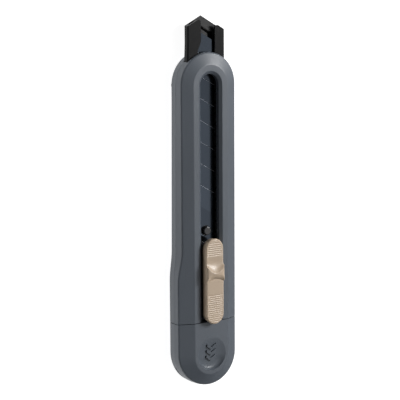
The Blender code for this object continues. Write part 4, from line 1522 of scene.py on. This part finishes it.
@dataclass
class SnapOffBlade:
    """The snap-off blade with its ground edge, score lines and hole."""

    half: float = 9.0 * MM
    slant: float = math.radians(30.0)
    grind: float = 1.7 * MM
    edge_thickness: float = 0.08 * MM
    pitch: float = 10.0 * MM
    score_count: int = 7
    hole_radius: float = 2.45 * MM

    def finish(self, tip_y: float) -> CoatedSteel:
        """Return the coated finish, with its segments counted from the tip."""
        return CoatedSteel("black coated steel", (0.058, 0.070, 0.088), 0.17, tip_y, self.pitch, self.slant)

    def build_strip(self, low: Vector, high: Vector) -> bpy.types.Object:
        """Return the ground strip with its slanted front.

        Args:
            low: The lowest corner of the blade's box.
            high: The highest corner of the blade's box.

        Returns:
            The strip.
        """
        middle = (low.z + high.z) / 2
        thin = self.edge_thickness / 2
        inner = -self.half + self.grind
        section = [(-self.half, middle - thin), (-self.half, middle + thin), (inner, high.z),
                   (self.half, high.z), (self.half, low.z), (inner, low.z)]
        strip = outline_face("snap_blade", [(x, low.y, z) for x, z in section])
        edit_all(strip)
        bpy.ops.mesh.extrude_region_move(TRANSFORM_OT_translate={"value": (0, high.y - low.y + MM, 0)})
        bpy.ops.mesh.select_all(action="SELECT")
        bpy.ops.mesh.normals_make_consistent(inside=False)
        bpy.ops.mesh.bisect(plane_co=(-self.half, high.y, 0),
                            plane_no=(math.sin(self.slant), math.cos(self.slant), 0),
                            use_fill=True, clear_outer=True)
        leave_edit()
        return strip

    def score_tool(self, high: Vector) -> bpy.types.Object:
        """Return one score line's tool, a bar with its lower edge in the blade's face.

        Args:
            high: The highest corner of the blade's box.

        Returns:
            The tool for the score line next to the tip.
        """
        start_clean()
        fall = math.tan(self.slant)
        bpy.ops.mesh.primitive_cylinder_add(vertices=4, radius=0.22 * MM, depth=26 * MM,
                                            location=(0, high.y - self.half * fall - self.pitch,
                                                      high.z + 0.1 * MM),
                                            rotation=(0, math.pi / 2, 0))
        bar = place_in_mesh(bpy.context.object)
        bar.name = "score"
        origin = Vector((0, high.y - self.half * fall - self.pitch, high.z))
        turn = Matrix.Translation(origin) @ Matrix.Rotation(-self.slant, 4, "Z") @ Matrix.Translation(-origin)
        bar.data.transform(turn)
        return bar

    def build(self) -> None:
        """Build the blade, dress its coated and ground faces and let it ride."""
        low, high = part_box("blade")
        blade = self.build_strip(low, high)
        row = copies_along(self.score_tool(high), Vector((0, -self.pitch, 0)), self.score_count)
        work(blade, row, Joining.CUT)
        _, carrier_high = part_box("blade_carrier")
        hole_y = carrier_high.y - 4.4 * MM
        work(blade, rod("hole", (0, hole_y, high.z), self.hole_radius, 4 * MM, 64), Joining.CUT)
        blade.data.materials.clear()
        blade.data.materials.append(self.finish(high.y).build())
        blade.data.materials.append(BrushedSteel("ground edge", (0.42, 0.43, 0.45), 0.28,
                                                 (300.0, 9000.0, 300.0)).build())
        blade.data.materials.append(BrushedSteel("scored steel", (0.42, 0.44, 0.48), 0.5,
                                                 (900.0, 900.0, 900.0)).build())
        ground_x = -self.half + self.grind
        for face in blade.data.polygons:
            if face.center.x < ground_x and abs(face.normal.z) < 0.9999 and abs(face.normal.y) < 0.5:
                face.material_index = 1
        for face in blade.data.polygons:
            if face.center.z > high.z - 0.2 * MM and 0.1 < face.normal.z < 0.95 and face.center.x > ground_x:
                face.material_index = 2
        shade(blade, 5.0)
        show(blade, Body.CARRIAGE, ["blade"])


@dataclass
class CarrierAndLock:
    """The black carrier with its peg and lock block, and the leaf spring in it."""

    peg_radius: float = 2.0 * MM
    finish: MouldedPlastic = field(default_factory=lambda: MouldedPlastic(
        "glossy black plastic", (0.030, 0.030, 0.032), 0.24, grain=0.3 * MM, depth=0.004 * MM, strength=0.3,
        mottle=0.06, coat=0.3))
    spring_finish: BrushedSteel = BrushedSteel("spring steel", (0.62, 0.62, 0.63), 0.3, (300.0, 200.0, 9000.0))

    def build(self) -> None:
        """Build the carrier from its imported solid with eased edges, and dress the spring."""
        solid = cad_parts["blade_carrier"]
        carrier = solid.copy()
        carrier.data = solid.data.copy()
        for key in list(carrier.keys()):
            del carrier[key]
        carrier.parent = None
        bpy.context.scene.collection.objects.link(carrier)
        carrier.name = "carrier_moulding"
        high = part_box("blade_carrier")[1]
        hole_y = high.y - 4.4 * MM
        blade_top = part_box("blade")[1].z
        edit_all(carrier)
        bpy.ops.mesh.customdata_custom_splitnormals_clear()
        bpy.ops.mesh.remove_doubles(threshold=0.002 * MM)
        bpy.ops.mesh.normals_make_consistent(inside=False)
        leave_edit()
        work(carrier, block("old peg", (-2.2 * MM, hole_y - 2.2 * MM, blade_top - 0.2 * MM),
                            (2.2 * MM, hole_y + 2.2 * MM, blade_top + 4 * MM)), Joining.CUT)
        ease_edges(carrier, 0.12 * MM, 2, 40.0)
        work(carrier, self.peg(hole_y, blade_top), Joining.ADD)
        carrier.data.materials.clear()
        carrier.data.materials.append(self.finish.build())
        shade(carrier, 35.0)
        show(carrier, Body.CARRIAGE, ["blade_carrier"])
        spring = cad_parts["lock_spring"]
        material = self.spring_finish.build()
        for slot in spring.material_slots:
            slot.material = material
        LOG.info("lock_spring: dressed")

    def peg(self, y: float, blade_top: float) -> bpy.types.Object:
        """Return the peg with its rounded edge.

        Args:
            y: The peg's place along the knife.
            blade_top: The height of the blade's face.

        Returns:
            The peg.
        """
        low, high = blade_top - 1.0 * MM, blade_top + 1.7 * MM
        peg = rod("peg", (0, y, (low + high) / 2), self.peg_radius, high - low, 64)
        ease_edges(peg, 0.5 * MM, 6, 60.0)
        return peg


# ---------------------------------------------------------------------------------------------------
# Studio
# ---------------------------------------------------------------------------------------------------


@dataclass
class Studio:
    """The pale floor, the soft lights and the camera."""

    yaw: float = math.radians(34.0)
    elevation: float = math.radians(10.332)
    roll: float = math.radians(-0.33)
    distance: float = 0.718
    lens: float = 139.7
    shift: tuple[float, float] = (-0.0100, 0.0500)
    target: tuple[float, float, float] = (0.0, 0.0, 0.006)

    def build_floor(self) -> None:
        """Add the pale floor that the knife lies on."""
        start_clean()
        bpy.ops.mesh.primitive_plane_add(size=40.0, location=(0, 0, -0.0001))
        floor = bpy.context.object
        floor.name = "floor"
        board = NodeBoard("pale floor")
        board.shader.inputs["Base Color"].default_value = (0.5, 0.5, 0.5, 1.0)
        board.shader.inputs["Roughness"].default_value = 0.9
        board.shader.inputs["Specular IOR Level"].default_value = 0.1
        board.shader.inputs["Emission Color"].default_value = (1, 1, 1, 1)
        board.shader.inputs["Emission Strength"].default_value = 0.93
        floor.data.materials.append(board.material)

    def build_camera(self) -> None:
        """Add the camera."""
        across = Vector((math.cos(self.yaw), 0, math.sin(self.yaw)))
        back = Vector((-math.sin(self.yaw) * math.cos(self.elevation), math.sin(self.elevation),
                       math.cos(self.yaw) * math.cos(self.elevation)))
        up = back.cross(across)
        cosine, sine = math.cos(self.roll), math.sin(self.roll)
        right = across * cosine + up * sine
        above = up * cosine - across * sine
        data = bpy.data.cameras.new("camera")
        data.lens = self.lens
        data.sensor_width = 36.0
        data.shift_x, data.shift_y = self.shift
        data.clip_start = 0.01
        camera = bpy.data.objects.new("camera", data)
        bpy.context.scene.collection.objects.link(camera)
        turn = Matrix((right, above, back)).transposed().to_4x4()
        turn.translation = Vector(self.target) + back * self.distance
        camera.matrix_world = turn
        bpy.context.scene.camera = camera

    def soft_light(self, name: str, direction: Sequence[float], distance: float, size: Sequence[float],
                   power: float, colour: Sequence[float] = (1.0, 1.0, 1.0)) -> None:
        """Add a rectangular soft light that faces the knife.

        Args:
            name: The light's name.
            direction: Where it stands, seen from the knife.
            distance: How far away it is.
            size: Its width and height.
            power: Its power in watts.
            colour: Its colour.
        """
        data = bpy.data.lights.new(name, "AREA")
        data.shape = "RECTANGLE"
        data.size, data.size_y = size
        data.energy = power
        data.color = colour
        light = bpy.data.objects.new(name, data)
        bpy.context.scene.collection.objects.link(light)
        way = Vector(direction).normalized()
        light.location = way * distance
        light.rotation_euler = way.to_track_quat("Z", "Y").to_euler()

    def build(self) -> None:
        """Build the floor, the lights and the camera."""
        self.build_floor()
        self.build_camera()
        self.soft_light("key", (0.66, 0.35, 0.665), 0.9, (0.28, 0.28), 6.6)
        self.soft_light("wide", (0.50, -0.08, 0.86), 1.0, (1.0, 1.0), 2.3)
        self.soft_light("fill", (-0.50, 0.10, 0.86), 1.0, (1.1, 1.1), 0.7)
        world = bpy.data.worlds.new("surroundings")
        world.use_nodes = True
        sky = world.node_tree.nodes["Background"]
        sky.inputs["Color"].default_value = (1.0, 1.0, 1.0, 1.0)
        sky.inputs["Strength"].default_value = 0.05
        bpy.context.scene.world = world
        bpy.context.scene.view_settings.view_transform = "Standard"


def main() -> None:
    """Build every sub-assembly in order."""
    logging.basicConfig(level=logging.INFO, format="%(message)s")
    form = HandleForm.from_frame()
    HandleShells(form).build()
    EndCap(form).build()
    Sheath().build()
    SnapOffBlade().build()
    CarrierAndLock().build()
    ThumbSlide().build()
    Studio().build()


if __name__ == "__main__":
    main()
